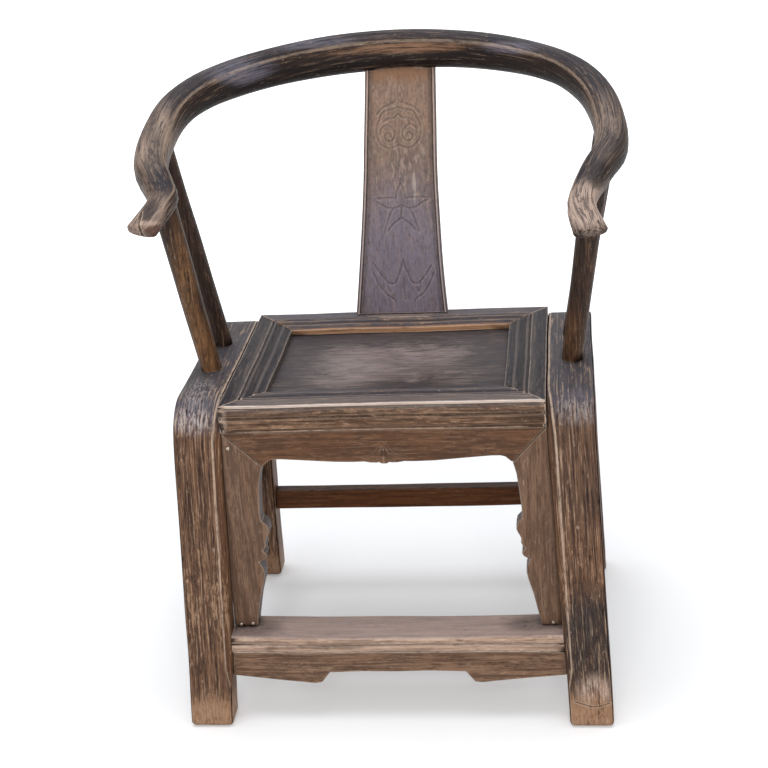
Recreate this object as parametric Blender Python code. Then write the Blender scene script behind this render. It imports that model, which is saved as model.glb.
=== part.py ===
"""Horseshoe back armchair with bentwood side frames.

Each side frame is one bent timber: front leg, seat rail and rear leg. The seat frame,
the aprons and the stretchers are tenoned between the two side frames. Four posts and a
splat carry one bent horseshoe rail. Metres, +Z up, the front of the chair faces -Y.
"""

import math

import bmesh
import bpy
from mathutils import Vector

# Clearance between neighbouring pieces, and how far a cutter overruns
FIT = 0.0003
OVERRUN = 0.003

# Overall sizes
SEAT_WIDTH = 0.580
SEAT_DEPTH = 0.372
SEAT_HEIGHT = 0.487
SIDE_SPLAY_SHARE = 0.037
FORE_SPLAY_SHARE = 0.108

# Bent side frames
FRAME_WIDTH = 0.066
FRAME_THICKNESS = 0.043
BEND_RADIUS = 0.058
BEND_STEPS = 9
LEG_TAPER = 0.004
EDGE_ROUND = 0.003
LEG_CHAMFER = 0.009
CHAMFER_START = 0.062
CHAMFER_FULL = 0.092

# Moulded seat frame and its panel
SEAT_RAIL_WIDTH = 0.061
SEAT_STILE_WIDTH = 0.057
SEAT_RAIL_HEIGHT = 0.040
FRONT_SETBACK = 0.002
REAR_SETBACK = 0.016
FACE_RELIEF = 0.0028
MOULD_RELIEF = 0.0022
PANEL_DROP = 0.012
PANEL_THICKNESS = 0.008
PANEL_TONGUE = 0.008
SEAT_TENON_WIDTH = 0.026
SEAT_TENON_HEIGHT = 0.011
SEAT_TENON_LENGTH = 0.024
SEAT_TENON_LIFT = 0.005
BATTEN_WIDTH = 0.024
BATTEN_HEIGHT = 0.015
BATTEN_SPACING = 0.150
BATTEN_TENON = 0.010

# Front apron and its side spandrels
APRON_HEIGHT = 0.0515
APRON_THICKNESS = 0.025
APRON_SETBACK = 0.009
APRON_LEAN_SHARE = 0.014
APRON_CUSP = 0.007
SPANDREL_WIDTH = 0.056
RIGHT_SPANDREL_WIDTH = 0.050

# Footrest and the stretchers
FOOTREST_TOP = 0.138
FOOTREST_WEAR = 0.0035
FOOTREST_HEIGHT = 0.029
FOOTREST_DEPTH = 0.062
FOOTREST_SETBACK = 0.010
FOOT_APRON_HEIGHT = 0.0475
FOOT_APRON_THICKNESS = 0.013
FOOT_APRON_SETBACK = 0.006
REAR_STRETCHER_TOP = 0.1665
REAR_STRETCHER_HEIGHT = 0.034
REAR_STRETCHER_DEPTH = 0.020
SIDE_STRETCHER_TOP = 0.215
SIDE_STRETCHER_HEIGHT = 0.030
SIDE_STRETCHER_DEPTH = 0.020
STRETCHER_TENON_LENGTH = 0.022
TENON_SHOULDER = 0.005

# Back splat
SPLAT_TOP_WIDTH = 0.107
SPLAT_WAIST_WIDTH = 0.112
SPLAT_FOOT_WIDTH = 0.142
SPLAT_WAIST_SHARE = 0.62
SPLAT_FLARE_POWER = 1.5
SPLAT_LEAN_SHARE = 0.35
SPLAT_BEND_POWER = 1.6
SPLAT_THICKNESS = 0.011
SPLAT_RIM = 0.008
SPLAT_RIM_RELIEF = 0.002
SPLAT_BACK_MARGIN = 0.006
SPLAT_SIDE_LEAN = 0.012
SPLAT_TENON = 0.014
SPLAT_RINGS = 16

# Horseshoe rail: how far it stands out over the seat's sides, how far its crest
# lies behind the seat's back edge and its hands behind the seat's front edge
RAIL_OVERHANG = 0.0305
RAIL_LEAN = 0.090
HAND_SETBACK = 0.052
RAIL_CREST = 0.872
RAIL_HAND_HEIGHT = 0.719
RAIL_WIDTH = 0.049
RAIL_HEIGHT = 0.058
HAND_ROUND = 0.004
RAIL_STEPS = 4
RAIL_SIDES = 18

# Posts
POST_DIAMETER = 0.034
POST_TENON_DIAMETER = 0.017
POST_TENON_LENGTH = 0.024
POST_TOP_TENON_LENGTH = 0.016
POST_FOOT_SHARE = 0.84
POST_SADDLE_SHARE = 0.5
POST_SIDES = 20
POST_RINGS = 8
FRONT_POST_INSET = 0.030
FRONT_POST_SETBACK = 0.143
REAR_POST_INSET = 0.028
REAR_POST_SETBACK = 0.133

# Nails that hold the spandrels
NAIL_HEAD_DIAMETER = 0.0056
NAIL_HEAD_HEIGHT = 0.0014
NAIL_SHANK_DIAMETER = 0.0024
NAIL_LENGTH = 0.011
NAIL_POINT_SHARE = 0.33
NAIL_SIDES = 12

# Thickness of a cross rail's tenon as a share of the piece
TENON_SHARE = 0.5

# Shading turns sharp above this angle, in degrees
SMOOTH_ANGLE = 40

# Colours of the worn wood and the iron
FRAME_COLOUR = (0.105, 0.078, 0.060, 1)
SEAT_COLOUR = (0.090, 0.070, 0.058, 1)
PANEL_COLOUR = (0.100, 0.086, 0.078, 1)
APRON_COLOUR = (0.130, 0.092, 0.068, 1)
STRETCHER_COLOUR = (0.190, 0.120, 0.078, 1)
SPLAT_COLOUR = (0.130, 0.098, 0.080, 1)
RAIL_COLOUR = (0.110, 0.084, 0.068, 1)
IRON_COLOUR = (0.450, 0.420, 0.390, 1)
WOOD_ROUGHNESS = 0.55
IRON_ROUGHNESS = 0.40

UP = Vector((0, 0, 1))
RIGHT = Vector((1, 0, 0))
BACK = Vector((0, 1, 0))

# Heights and faces that several pieces share
FRAME_UNDERSIDE = SEAT_HEIGHT - FRAME_THICKNESS
SEAT_UNDERSIDE = SEAT_HEIGHT - SEAT_RAIL_HEIGHT
SEAT_HALF_WIDTH = SEAT_WIDTH / 2 - FRAME_WIDTH - FIT
SEAT_FRONT = -SEAT_DEPTH / 2 + FRONT_SETBACK
SEAT_BACK = SEAT_DEPTH / 2 - REAR_SETBACK
SPLAT_FOOT_Y = SEAT_BACK - SPLAT_BACK_MARGIN - SPLAT_THICKNESS / 2
PANEL_TOP = SEAT_HEIGHT - PANEL_DROP - FIT
RAIL_HALF_SPAN = SEAT_WIDTH / 2 + RAIL_OVERHANG
RAIL_BACK = SEAT_DEPTH / 2 + RAIL_LEAN
RAIL_HAND = SEAT_DEPTH / 2 - HAND_SETBACK


def clear_scene():
    for item in list(bpy.data.objects):
        bpy.data.objects.remove(item)


def wood(name, colour, roughness=WOOD_ROUGHNESS, metallic=0):
    material = bpy.data.materials.new(name)
    material.use_nodes = True
    shader = material.node_tree.nodes["Principled BSDF"]
    shader.inputs["Base Color"].default_value = colour
    shader.inputs["Roughness"].default_value = roughness
    shader.inputs["Metallic"].default_value = metallic
    material.diffuse_color = colour
    return material


def solid(name, points, faces):
    """A closed body whose faces point out."""
    mesh = bpy.data.meshes.new(name)
    mesh.from_pydata([tuple(point) for point in points], [], faces)
    shape = bmesh.new()
    shape.from_mesh(mesh)
    bmesh.ops.recalc_face_normals(shape, faces=shape.faces)
    shape.to_mesh(mesh)
    shape.free()
    piece = bpy.data.objects.new(name, mesh)
    bpy.context.collection.objects.link(piece)
    return piece


def loft(name, rings):
    """Joins rings of equal length with quads and caps both ends."""
    count = len(rings[0])
    points = [point for ring in rings for point in ring]
    faces = []
    for row in range(len(rings) - 1):
        for i in range(count):
            j = (i + 1) % count
            faces.append((row * count + i, row * count + j, (row + 1) * count + j, (row + 1) * count + i))
    faces.append(tuple(range(count)))
    faces.append(tuple(range(len(points) - count, len(points))))
    return solid(name, points, faces)


def block(name, low, high):
    """A box between two corners."""
    rings = []
    for z in (low[2], high[2]):
        rings.append([Vector((x, y, z)) for x, y in
                      ((low[0], low[1]), (high[0], low[1]), (high[0], high[1]), (low[0], high[1]))])
    return loft(name, rings)


def combine(piece, tool, operation, crossing=False):
    """Applies a Boolean with a helper solid; crossing is for solids that cross themselves in a bend."""
    tool.hide_render = True
    tool.display_type = "WIRE"
    boolean = piece.modifiers.new(operation.title(), "BOOLEAN")
    boolean.operation = operation
    boolean.solver = "EXACT"
    boolean.use_self = crossing
    boolean.object = tool
    seen = piece.evaluated_get(bpy.context.evaluated_depsgraph_get())
    mesh = bpy.data.meshes.new_from_object(seen)
    piece.modifiers.remove(boolean)
    piece.data = mesh
    bpy.data.objects.remove(tool)


def join_with_tenon(piece, holders, low, high):
    """Adds a tenon between two corners and cuts its mortise, with clearance, in each holder."""
    combine(piece, block("tenon", low, high), "UNION")
    gap = Vector((FIT, FIT, FIT))
    for holder in holders:
        combine(holder, block("mortise", Vector(low) - gap, Vector(high) + gap), "DIFFERENCE")


def finish(piece, material, smooth_angle=None):
    piece.data.materials.clear()
    piece.data.materials.append(material)
    if smooth_angle:
        piece.data.shade_smooth()
        piece.data.set_sharp_from_angle(angle=smooth_angle)
    return piece


def smooth_curve(points, steps):
    """Points along a Catmull-Rom curve through the given points."""
    padded = [2 * points[0] - points[1]] + list(points) + [2 * points[-1] - points[-2]]
    curve = []
    for i in range(1, len(padded) - 2):
        a, b, c, d = padded[i - 1:i + 3]
        for step in range(steps):
            t = step / steps
            curve.append((2 * b + (c - a) * t + (2 * a - 5 * b + 4 * c - d) * t ** 2
                          + (3 * b - a - 3 * c + d) * t ** 3) / 2)
    curve.append(points[-1].copy())
    return curve


def leg_fall(z):
    return max(FRAME_UNDERSIDE - z, 0)


def leg_outside(z):
    return SEAT_WIDTH / 2 + SIDE_SPLAY_SHARE * leg_fall(z)


def leg_inside(z):
    taper = LEG_TAPER * leg_fall(z) / FRAME_UNDERSIDE
    return SEAT_WIDTH / 2 - FRAME_WIDTH + SIDE_SPLAY_SHARE * leg_fall(z) + taper


def leg_face(z):
    """Distance of a leg's outer face in front of, or behind, the chair's middle."""
    return SEAT_DEPTH / 2 + FORE_SPLAY_SHARE * (SEAT_HEIGHT - z)


def leg_back_face(z):
    return leg_face(z) - FRAME_THICKNESS * math.hypot(1, FORE_SPLAY_SHARE)


def frame_section(side, outer, inner, chamfer):
    """One ring of a side frame: eight points round the timber."""
    depth = (inner - outer).normalized()
    thickness = (inner - outer).length
    across = [
        (0, chamfer), (chamfer, 0),
        (FRAME_WIDTH - EDGE_ROUND, 0), (FRAME_WIDTH, EDGE_ROUND),
        (FRAME_WIDTH, thickness - EDGE_ROUND), (FRAME_WIDTH - EDGE_ROUND, thickness),
        (EDGE_ROUND, thickness), (0, thickness - EDGE_ROUND),
    ]
    ring = []
    for width, deep in across:
        place = outer + depth * deep
        z = place.y
        x = leg_inside(z) + width / FRAME_WIDTH * (leg_outside(z) - leg_inside(z))
        ring.append(Vector((side * x, place.x, z)))
    return ring


def frame_stations():
    """Outer point, inner point and chamfer along one half of a side frame, from the foot up."""
    lean = math.atan(FORE_SPLAY_SHARE)
    centre_z = SEAT_HEIGHT - BEND_RADIUS
    centre_y = leg_face(centre_z) - BEND_RADIUS / math.cos(lean)
    inner_radius = BEND_RADIUS - FRAME_THICKNESS
    stations = []
    for z, chamfer in ((0, EDGE_ROUND), (CHAMFER_START, EDGE_ROUND), (CHAMFER_FULL, LEG_CHAMFER)):
        stations.append((Vector((leg_face(z), z)), Vector((leg_back_face(z), z)), chamfer))
    for step in range(BEND_STEPS + 1):
        turn = step / BEND_STEPS
        angle = lean + turn * (math.pi / 2 - lean)
        ray = Vector((math.cos(angle), math.sin(angle)))
        centre = Vector((centre_y, centre_z))
        chamfer = LEG_CHAMFER + (EDGE_ROUND - LEG_CHAMFER) * turn
        stations.append((centre + ray * BEND_RADIUS, centre + ray * inner_radius, chamfer))
    return stations


def make_side_frame(name, side):
    half = frame_stations()
    rings = []
    for outer, inner, chamfer in half:
        rings.append(frame_section(side, Vector((-outer.x, outer.y)), Vector((-inner.x, inner.y)), chamfer))
    for outer, inner, chamfer in reversed(half):
        rings.append(frame_section(side, outer, inner, EDGE_ROUND))
    return loft(name, rings)


# Seat frame outline: shares of the member's width, and of the moulding's relief
MOULDING_SHARES = (
    (0.00, 0.0), (0.41, 0.0), (0.42, 0.9), (0.46, 0.9), (0.48, 0.2), (0.51, 0.0), (0.54, 0.3),
    (0.56, 1.0), (0.70, 1.2), (0.73, 0.6), (0.77, 0.3), (0.81, 0.6), (0.84, 1.3), (0.97, 1.6), (1.00, 2.0),
)
# Front face of the seat frame, from its underside up: shares of the height, and of the relief
FACE_SHARES = (
    (0.00, 1.0), (0.10, 1.0), (0.13, 0.3), (0.24, 0.0), (0.38, 0.0), (0.48, 0.3), (0.51, 1.0),
    (0.56, 1.0), (0.58, 0.4), (0.66, 0.0), (0.80, 0.0), (0.86, 0.3), (0.88, 0.9), (0.92, 0.9), (0.94, 0.2),
)


def member_profile(width, face_relief):
    """Cross-section of a seat frame member: distance in from its outer edge, height below its top."""
    groove_top = PANEL_DROP - FIT
    groove_bottom = PANEL_DROP + PANEL_THICKNESS + FIT
    profile = [(face_relief * relief, SEAT_RAIL_HEIGHT * (1 - height)) for height, relief in FACE_SHARES]
    profile += [(width * share, MOULD_RELIEF * relief) for share, relief in MOULDING_SHARES]
    profile += [(width, groove_top), (width - PANEL_TONGUE, groove_top),
                (width - PANEL_TONGUE, groove_bottom), (width, groove_bottom), (width, SEAT_RAIL_HEIGHT)]
    return profile


def make_seat_member(name, start, end, inward, width, mitre_run, face_relief=0):
    """A moulded member with mitred ends; mitre_run is its mitre's length along the member."""
    along = (end - start).normalized()
    mitre_gap = FIT / math.sqrt(2)
    profile = member_profile(width, face_relief)
    if not face_relief:
        profile = [(0, SEAT_RAIL_HEIGHT)] + profile[len(FACE_SHARES):]
    rings = []
    for corner, sign in ((start, 1), (end, -1)):
        ring = []
        for across, drop in profile:
            run = mitre_run * across / width + mitre_gap
            ring.append(corner + along * sign * run + inward * across - UP * drop)
        rings.append(ring)
    return loft(name, rings)


def make_seat_frame():
    left, right = -SEAT_HALF_WIDTH, SEAT_HALF_WIDTH
    front_left = Vector((left, SEAT_FRONT, SEAT_HEIGHT))
    front_right = Vector((right, SEAT_FRONT, SEAT_HEIGHT))
    back_left = Vector((left, SEAT_BACK, SEAT_HEIGHT))
    back_right = Vector((right, SEAT_BACK, SEAT_HEIGHT))
    rail, stile = SEAT_RAIL_WIDTH, SEAT_STILE_WIDTH
    front = make_seat_member("seat_front_rail", front_left, front_right, BACK, rail, stile, FACE_RELIEF)
    return {
        "front": front,
        "back": make_seat_member("seat_rear_rail", back_left, back_right, -BACK, rail, stile),
        "left": make_seat_member("seat_left_stile", front_left, back_left, RIGHT, stile, rail),
        "right": make_seat_member("seat_right_stile", front_right, back_right, -RIGHT, stile, rail),
    }


def join_seat_frame(seat, frames):
    """Tenons of both seat rails run through the stiles into the side frames."""
    low_z = SEAT_UNDERSIDE + SEAT_TENON_LIFT
    high_z = low_z + SEAT_TENON_HEIGHT
    inner_x = SEAT_HALF_WIDTH - SEAT_STILE_WIDTH - OVERRUN
    outer_x = SEAT_HALF_WIDTH + SEAT_TENON_LENGTH
    margin = (SEAT_RAIL_WIDTH - SEAT_TENON_WIDTH) / 2
    rails = (("front", SEAT_FRONT + margin), ("back", SEAT_BACK - margin - SEAT_TENON_WIDTH))
    for rail, y in rails:
        for side, sign in (("left", -1), ("right", 1)):
            low_x, high_x = sorted((sign * inner_x, sign * outer_x))
            low = Vector((low_x, y, low_z))
            high = Vector((high_x, y + SEAT_TENON_WIDTH, high_z))
            join_with_tenon(seat[rail], (seat[side], frames[side]), low, high)


def make_seat_panel():
    reach = PANEL_TONGUE - FIT
    half_x = SEAT_HALF_WIDTH - SEAT_STILE_WIDTH + reach
    low = Vector((-half_x, SEAT_FRONT + SEAT_RAIL_WIDTH - reach, PANEL_TOP + FIT - PANEL_THICKNESS))
    high = Vector((half_x, SEAT_BACK - SEAT_RAIL_WIDTH + reach, PANEL_TOP))
    return block("seat_panel", low, high)


def make_batten(name, x, seat):
    """A batten under the panel, tenoned into the front and rear seat rails."""
    top = PANEL_TOP - PANEL_THICKNESS - FIT
    bottom = top - BATTEN_HEIGHT
    front = SEAT_FRONT + SEAT_RAIL_WIDTH + FIT
    back = SEAT_BACK - SEAT_RAIL_WIDTH - FIT
    half = BATTEN_WIDTH / 2
    batten = block(name, (x - half, front, bottom), (x + half, back, top))
    narrow = half - TENON_SHOULDER
    shoulder = BATTEN_HEIGHT * (1 - TENON_SHARE) / 2
    low_z = bottom + shoulder
    high_z = top - shoulder
    for y, sign, rail in ((front, -1, "front"), (back, 1, "back")):
        low_y, high_y = sorted((y - sign * OVERRUN, y + sign * BATTEN_TENON))
        join_with_tenon(batten, (seat[rail],), (x - narrow, low_y, low_z), (x + narrow, high_y, high_z))
    return batten


def apron_face(z):
    """Distance from the chair's middle to the apron's front: it stands nearly upright."""
    return leg_face(SEAT_UNDERSIDE) - APRON_SETBACK + APRON_LEAN_SHARE * (SEAT_UNDERSIDE - z)


def foot_apron_face(z):
    """The board under the footrest stands in the plane of the front legs."""
    return leg_face(z) - FOOTREST_SETBACK - FOOT_APRON_SETBACK


def upright_board(name, outline, face, thickness):
    """A board behind a front face, given as a function of z; its outline is a list of x and z."""
    rings = []
    for depth in (0, thickness):
        rings.append([Vector((x, -face(z) + depth, z)) for x, z in outline])
    return loft(name, rings)


# Lower edge of the front apron, from the mitre to the middle:
# shares of its half width, and of the middle cusp's depth
APRON_EDGE_SHARES = (
    (0.965, 0.35), (0.945, -0.10), (0.91, -0.35), (0.84, -0.35), (0.62, 0.05), (0.40, 0.45),
    (0.24, 0.55), (0.16, 0.50), (0.11, 0.72), (0.065, 0.78), (0.04, 0.66), (0.022, 0.95),
)
# Inner edge of a spandrel, from the mitre down, as runs that meet in sharp notches:
# shares of its width and of its height
SPANDREL_EDGE_SHARES = (
    ((1.00, 0.170), (0.92, 0.228), (0.89, 0.316), (0.87, 0.400), (0.89, 0.447)),
    ((0.89, 0.447), (1.03, 0.468), (1.07, 0.506), (0.99, 0.537), (0.96, 0.558), (0.98, 0.578),
     (0.87, 0.597)),
    ((0.87, 0.597), (0.97, 0.617), (0.95, 0.640), (0.77, 0.656)),
    ((0.77, 0.656), (0.89, 0.700), (0.88, 0.755), (0.76, 0.845), (0.69, 0.920), (0.64, 0.975),
     (0.63, 1.000)),
)
EDGE_STEPS = 2


def spandrel_width(side):
    return RIGHT_SPANDREL_WIDTH if side > 0 else SPANDREL_WIDTH


def apron_corner(side):
    """Where the apron and a spandrel meet at their inner, lower mitre corner."""
    top = SEAT_UNDERSIDE - FIT
    share = SPANDREL_EDGE_SHARES[0][0]
    z = top - share[1] * (top - FOOTREST_TOP)
    return leg_inside(z) - spandrel_width(side) * share[0], z


def apron_half(side):
    """Outline of one half of the front apron, from its upper corner to the middle cusp."""
    top = SEAT_UNDERSIDE - FIT
    corner_x, corner_z = apron_corner(side)
    gap = FIT / math.sqrt(2)
    level = top - APRON_HEIGHT + APRON_CUSP
    outline = [(leg_inside(top) - FIT - gap, top), (corner_x - gap, corner_z)]
    outline += [(corner_x * share, level - APRON_CUSP * dip) for share, dip in APRON_EDGE_SHARES]
    return [(side * x, z) for x, z in outline]


def make_front_apron():
    cusp = SEAT_UNDERSIDE - FIT - APRON_HEIGHT
    outline = apron_half(1) + [(0, cusp)] + list(reversed(apron_half(-1)))
    return upright_board("front_apron", outline, apron_face, APRON_THICKNESS)


def make_spandrel(name, side):
    top = SEAT_UNDERSIDE - FIT
    bottom = FOOTREST_TOP + FIT
    edge = []
    for run in SPANDREL_EDGE_SHARES:
        knots = []
        for width_share, height_share in run:
            z = top - height_share * (top - bottom)
            knots.append(Vector((leg_inside(z) - spandrel_width(side) * width_share, z)))
        edge = edge[:-1] + smooth_curve(knots, EDGE_STEPS)
    gap = FIT / math.sqrt(2)
    outline = [(leg_inside(top) - FIT, top - gap), (leg_inside(bottom) - FIT, bottom)]
    outline += [(point.x, point.y) for point in reversed(edge)]
    outline[-1] = (outline[-1][0], outline[-1][1] - gap)
    return upright_board(name, [(side * x, z) for x, z in outline], apron_face, APRON_THICKNESS)


WEAR_STEPS = 8
# Front edge of the footrest, from its underside up: shares of the height and of the relief
FOOTREST_FACE_SHARES = (
    (0.00, 1.0), (0.08, 1.0), (0.12, 0.3), (0.29, 0.0), (0.46, 0.3), (0.50, 1.0), (0.55, 1.0),
    (0.59, 0.3), (0.74, 0.0), (0.88, 0.1), (0.97, 0.6), (1.00, 1.4),
)


def cross_rail(name, profile, worn=0):
    """A rail between the two side frames; its profile is a list of y and z.

    Feet have worn its top down by a depth that is greatest in the middle.
    """
    low_z = min(z for y, z in profile)
    height = max(z for y, z in profile) - low_z
    steps = WEAR_STEPS if worn else 1
    rings = []
    for step in range(steps + 1):
        across = 2 * step / steps - 1
        dip = worn * (1 - across ** 2)
        rings.append([Vector((across * (leg_inside(z) - FIT), y, z - dip * (z - low_z) / height))
                      for y, z in profile])
    return loft(name, rings)


def join_cross_rail(piece, frames, low_y, high_y, low_z, high_z):
    for side, sign in (("left", -1), ("right", 1)):
        inner_x = leg_inside(high_z) - OVERRUN
        outer_x = leg_inside(high_z) + STRETCHER_TENON_LENGTH
        low_x, high_x = sorted((sign * inner_x, sign * outer_x))
        join_with_tenon(piece, (frames[side],), (low_x, low_y, low_z), (high_x, high_y, high_z))


def make_footrest(frames):
    bottom = FOOTREST_TOP - FOOTREST_HEIGHT
    front = -leg_face(FOOTREST_TOP) + FOOTREST_SETBACK
    back = front + FOOTREST_DEPTH
    profile = [(front + FACE_RELIEF * relief, bottom + FOOTREST_HEIGHT * height)
               for height, relief in FOOTREST_FACE_SHARES]
    profile += [(back - EDGE_ROUND, FOOTREST_TOP), (back, FOOTREST_TOP - EDGE_ROUND), (back, bottom)]
    footrest = cross_rail("foot_stretcher", profile, FOOTREST_WEAR)
    tenon_back = -leg_back_face(FOOTREST_TOP) - TENON_SHOULDER
    join_cross_rail(footrest, frames, front + TENON_SHOULDER, tenon_back,
                    bottom + TENON_SHOULDER, FOOTREST_TOP - TENON_SHOULDER)
    return footrest


# Lower edge of the footrest's apron, from the leg to the middle:
# shares of its half width and of its height
FOOT_APRON_SHARES = (
    (0.99, 0.74), (0.74, 0.88), (0.58, 0.96), (0.50, 1.00), (0.46, 0.97), (0.435, 0.80), (0.41, 0.64),
    (0.22, 0.61), (0, 0.63),
)


def make_foot_apron(frames):
    top = FOOTREST_TOP - FOOTREST_HEIGHT - FIT
    end_z = top - FOOT_APRON_HEIGHT * FOOT_APRON_SHARES[0][1]
    half = leg_inside(end_z) - FIT
    right = [(leg_inside(top) - FIT, top), (half, end_z)]
    right += [(half * share, top - FOOT_APRON_HEIGHT * height) for share, height in FOOT_APRON_SHARES[1:]]
    left = [(-x, z) for x, z in reversed(right[:-1])]
    apron = upright_board("foot_stretcher_apron", right + left, foot_apron_face, FOOT_APRON_THICKNESS)
    tenon_z = top - FOOT_APRON_HEIGHT / 2
    tenon = FOOT_APRON_THICKNESS * TENON_SHARE
    front = -foot_apron_face(tenon_z) + (FOOT_APRON_THICKNESS - tenon) / 2
    join_cross_rail(apron, frames, front, front + tenon,
                    tenon_z - TENON_SHOULDER, tenon_z + TENON_SHOULDER)
    return apron


def make_rear_stretcher(frames):
    top = REAR_STRETCHER_TOP
    bottom = top - REAR_STRETCHER_HEIGHT
    middle = (leg_face(top) + leg_back_face(top)) / 2
    front = middle - REAR_STRETCHER_DEPTH / 2
    back = middle + REAR_STRETCHER_DEPTH / 2
    profile = [(front, bottom), (front, top), (back, top), (back, bottom)]
    stretcher = cross_rail("rear_stretcher", profile)
    join_cross_rail(stretcher, frames, front + TENON_SHOULDER, back - TENON_SHOULDER,
                    bottom + TENON_SHOULDER, top - TENON_SHOULDER)
    return stretcher


def make_side_stretcher(name, side, frame):
    """A stretcher between the front and rear leg of one side frame."""
    top = SIDE_STRETCHER_TOP
    bottom = top - SIDE_STRETCHER_HEIGHT
    rings = []
    for end in (-1, 1):
        ring = []
        for across, z in ((-1, bottom), (1, bottom), (1, top), (-1, top)):
            middle = (leg_inside(z) + leg_outside(z)) / 2
            x = side * middle + across * SIDE_STRETCHER_DEPTH / 2
            ring.append(Vector((x, end * (leg_back_face(z) - FIT), z)))
        rings.append(ring)
    stretcher = loft(name, rings)
    middle = side * (leg_inside(top) + leg_outside(top)) / 2
    half = SIDE_STRETCHER_DEPTH / 2 - TENON_SHOULDER
    inner_y = leg_back_face(top) - OVERRUN
    outer_y = leg_back_face(top) + STRETCHER_TENON_LENGTH
    for end in (-1, 1):
        low_y, high_y = sorted((end * inner_y, end * outer_y))
        join_with_tenon(stretcher, (frame,), (middle - half, low_y, bottom + TENON_SHOULDER),
                        (middle + half, high_y, top - TENON_SHOULDER))
    return stretcher


# Courses of the horseshoe rail from the crest's middle to each hand. Shares of the half span,
# of the distance from the hands to the crest, and of the crest's rise over the hands. The rail
# is bent by eye, so its sides differ a little: the left hand turns out and ends higher
RAIL_LEFT_SHARES = (
    (0.000, 1.000, 1.000), (0.187, 0.987, 0.993), (0.371, 0.946, 0.977), (0.548, 0.880, 0.954),
    (0.706, 0.790, 0.917), (0.840, 0.678, 0.862), (0.940, 0.549, 0.756), (0.988, 0.415, 0.588),
    (0.990, 0.283, 0.412), (0.926, 0.176, 0.281), (0.898, 0.112, 0.228), (0.966, 0.004, 0.055),
)
RAIL_RIGHT_SHARES = (
    (0.000, 1.000, 1.000), (0.187, 0.987, 0.996), (0.374, 0.946, 0.984), (0.549, 0.880, 0.960),
    (0.706, 0.790, 0.927), (0.838, 0.678, 0.869), (0.935, 0.549, 0.752), (0.989, 0.415, 0.588),
    (0.997, 0.283, 0.412), (0.932, 0.176, 0.281), (0.868, 0.058, 0.098), (0.900, -0.044, -0.065),
)
# Width and height of the rail at the same places, as shares of its sizes
RAIL_LEFT_SIZE_SHARES = (
    (0.98, 1.02), (0.97, 1.03), (0.96, 1.02), (0.96, 0.98), (0.96, 0.95), (0.96, 0.91),
    (0.97, 0.87), (0.98, 0.86), (0.98, 0.82), (0.90, 0.70), (0.82, 0.54), (1.06, 0.38),
)
RAIL_RIGHT_SIZE_SHARES = (
    (0.98, 1.02), (0.97, 0.97), (0.96, 0.92), (0.96, 0.88), (0.94, 0.84), (0.92, 0.82),
    (0.92, 0.82), (0.93, 0.82), (0.94, 0.79), (0.88, 0.68), (0.78, 0.50), (0.98, 0.34),
)
# Places on the rail's course, counted from the crest, where the posts enter it
REAR_POST_STATION = 7
FRONT_POST_STATION = 9

RAIL_SQUARENESS_SHARE = 0.82


def rail_half_course(side):
    points = []
    for x, y, z in RAIL_LEFT_SHARES if side < 0 else RAIL_RIGHT_SHARES:
        points.append(Vector((side * RAIL_HALF_SPAN * x, -RAIL_HAND + (RAIL_BACK + RAIL_HAND) * y,
                              RAIL_HAND_HEIGHT + (RAIL_CREST - RAIL_HAND_HEIGHT) * z)))
    return points


def rail_course():
    return list(reversed(rail_half_course(-1)[1:])) + rail_half_course(1)


def rail_sizes():
    left = [Vector(size) for size in RAIL_LEFT_SIZE_SHARES]
    return list(reversed(left[1:])) + [Vector(size) for size in RAIL_RIGHT_SIZE_SHARES]


def rail_section(place, ahead, size, grow):
    """A ring round the rail: an oval with flattened faces."""
    along = ahead.normalized()
    across = along.cross(UP).normalized()
    rise = across.cross(along).normalized()
    ring = []
    for i in range(RAIL_SIDES):
        angle = math.pi * (2 * i + 1) / RAIL_SIDES
        c, s = math.cos(angle), math.sin(angle)
        width = (RAIL_WIDTH * size.x / 2 + grow) * math.copysign(abs(c) ** RAIL_SQUARENESS_SHARE, c)
        height = (RAIL_HEIGHT * size.y / 2 + grow) * math.copysign(abs(s) ** RAIL_SQUARENESS_SHARE, s)
        ring.append(place + across * width + rise * height)
    return ring


def make_rail(name, grow=0):
    course = smooth_curve(rail_course(), RAIL_STEPS)
    sizes = smooth_curve(rail_sizes(), RAIL_STEPS)
    rings = []
    for i, place in enumerate(course):
        before = course[max(i - 1, 0)]
        after = course[min(i + 1, len(course) - 1)]
        rings.append(rail_section(place, after - before, sizes[i], grow))
    left_end = course[0] - course[1]
    right_end = course[-1] - course[-2]
    left_tip = course[0] + left_end.normalized() * HAND_ROUND
    right_tip = course[-1] + right_end.normalized() * HAND_ROUND
    rings.insert(0, rail_section(left_tip, -left_end, sizes[0], grow - HAND_ROUND))
    rings.append(rail_section(right_tip, right_end, sizes[-1], grow - HAND_ROUND))
    return loft(name, rings)


def splat_width(rise):
    """Width of the splat at a share of its height: straight above, flared to the foot."""
    low = max(1 - rise / SPLAT_WAIST_SHARE, 0)
    high = max((rise - SPLAT_WAIST_SHARE) / (1 - SPLAT_WAIST_SHARE), 0)
    flare = (SPLAT_FOOT_WIDTH - SPLAT_WAIST_WIDTH) * low ** SPLAT_FLARE_POWER
    return SPLAT_WAIST_WIDTH + flare + (SPLAT_TOP_WIDTH - SPLAT_WAIST_WIDTH) * high


def splat_x(rise):
    """Sideways place of the splat's middle: its top stands a little to the right."""
    return SPLAT_SIDE_LEAN * rise


def splat_y(rise):
    """The splat stands upright on the seat and curves back to meet the rail."""
    bend = (1 - SPLAT_LEAN_SHARE) * rise ** SPLAT_BEND_POWER
    return SPLAT_FOOT_Y + (RAIL_BACK - SPLAT_FOOT_Y) * (SPLAT_LEAN_SHARE * rise + bend)


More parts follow.
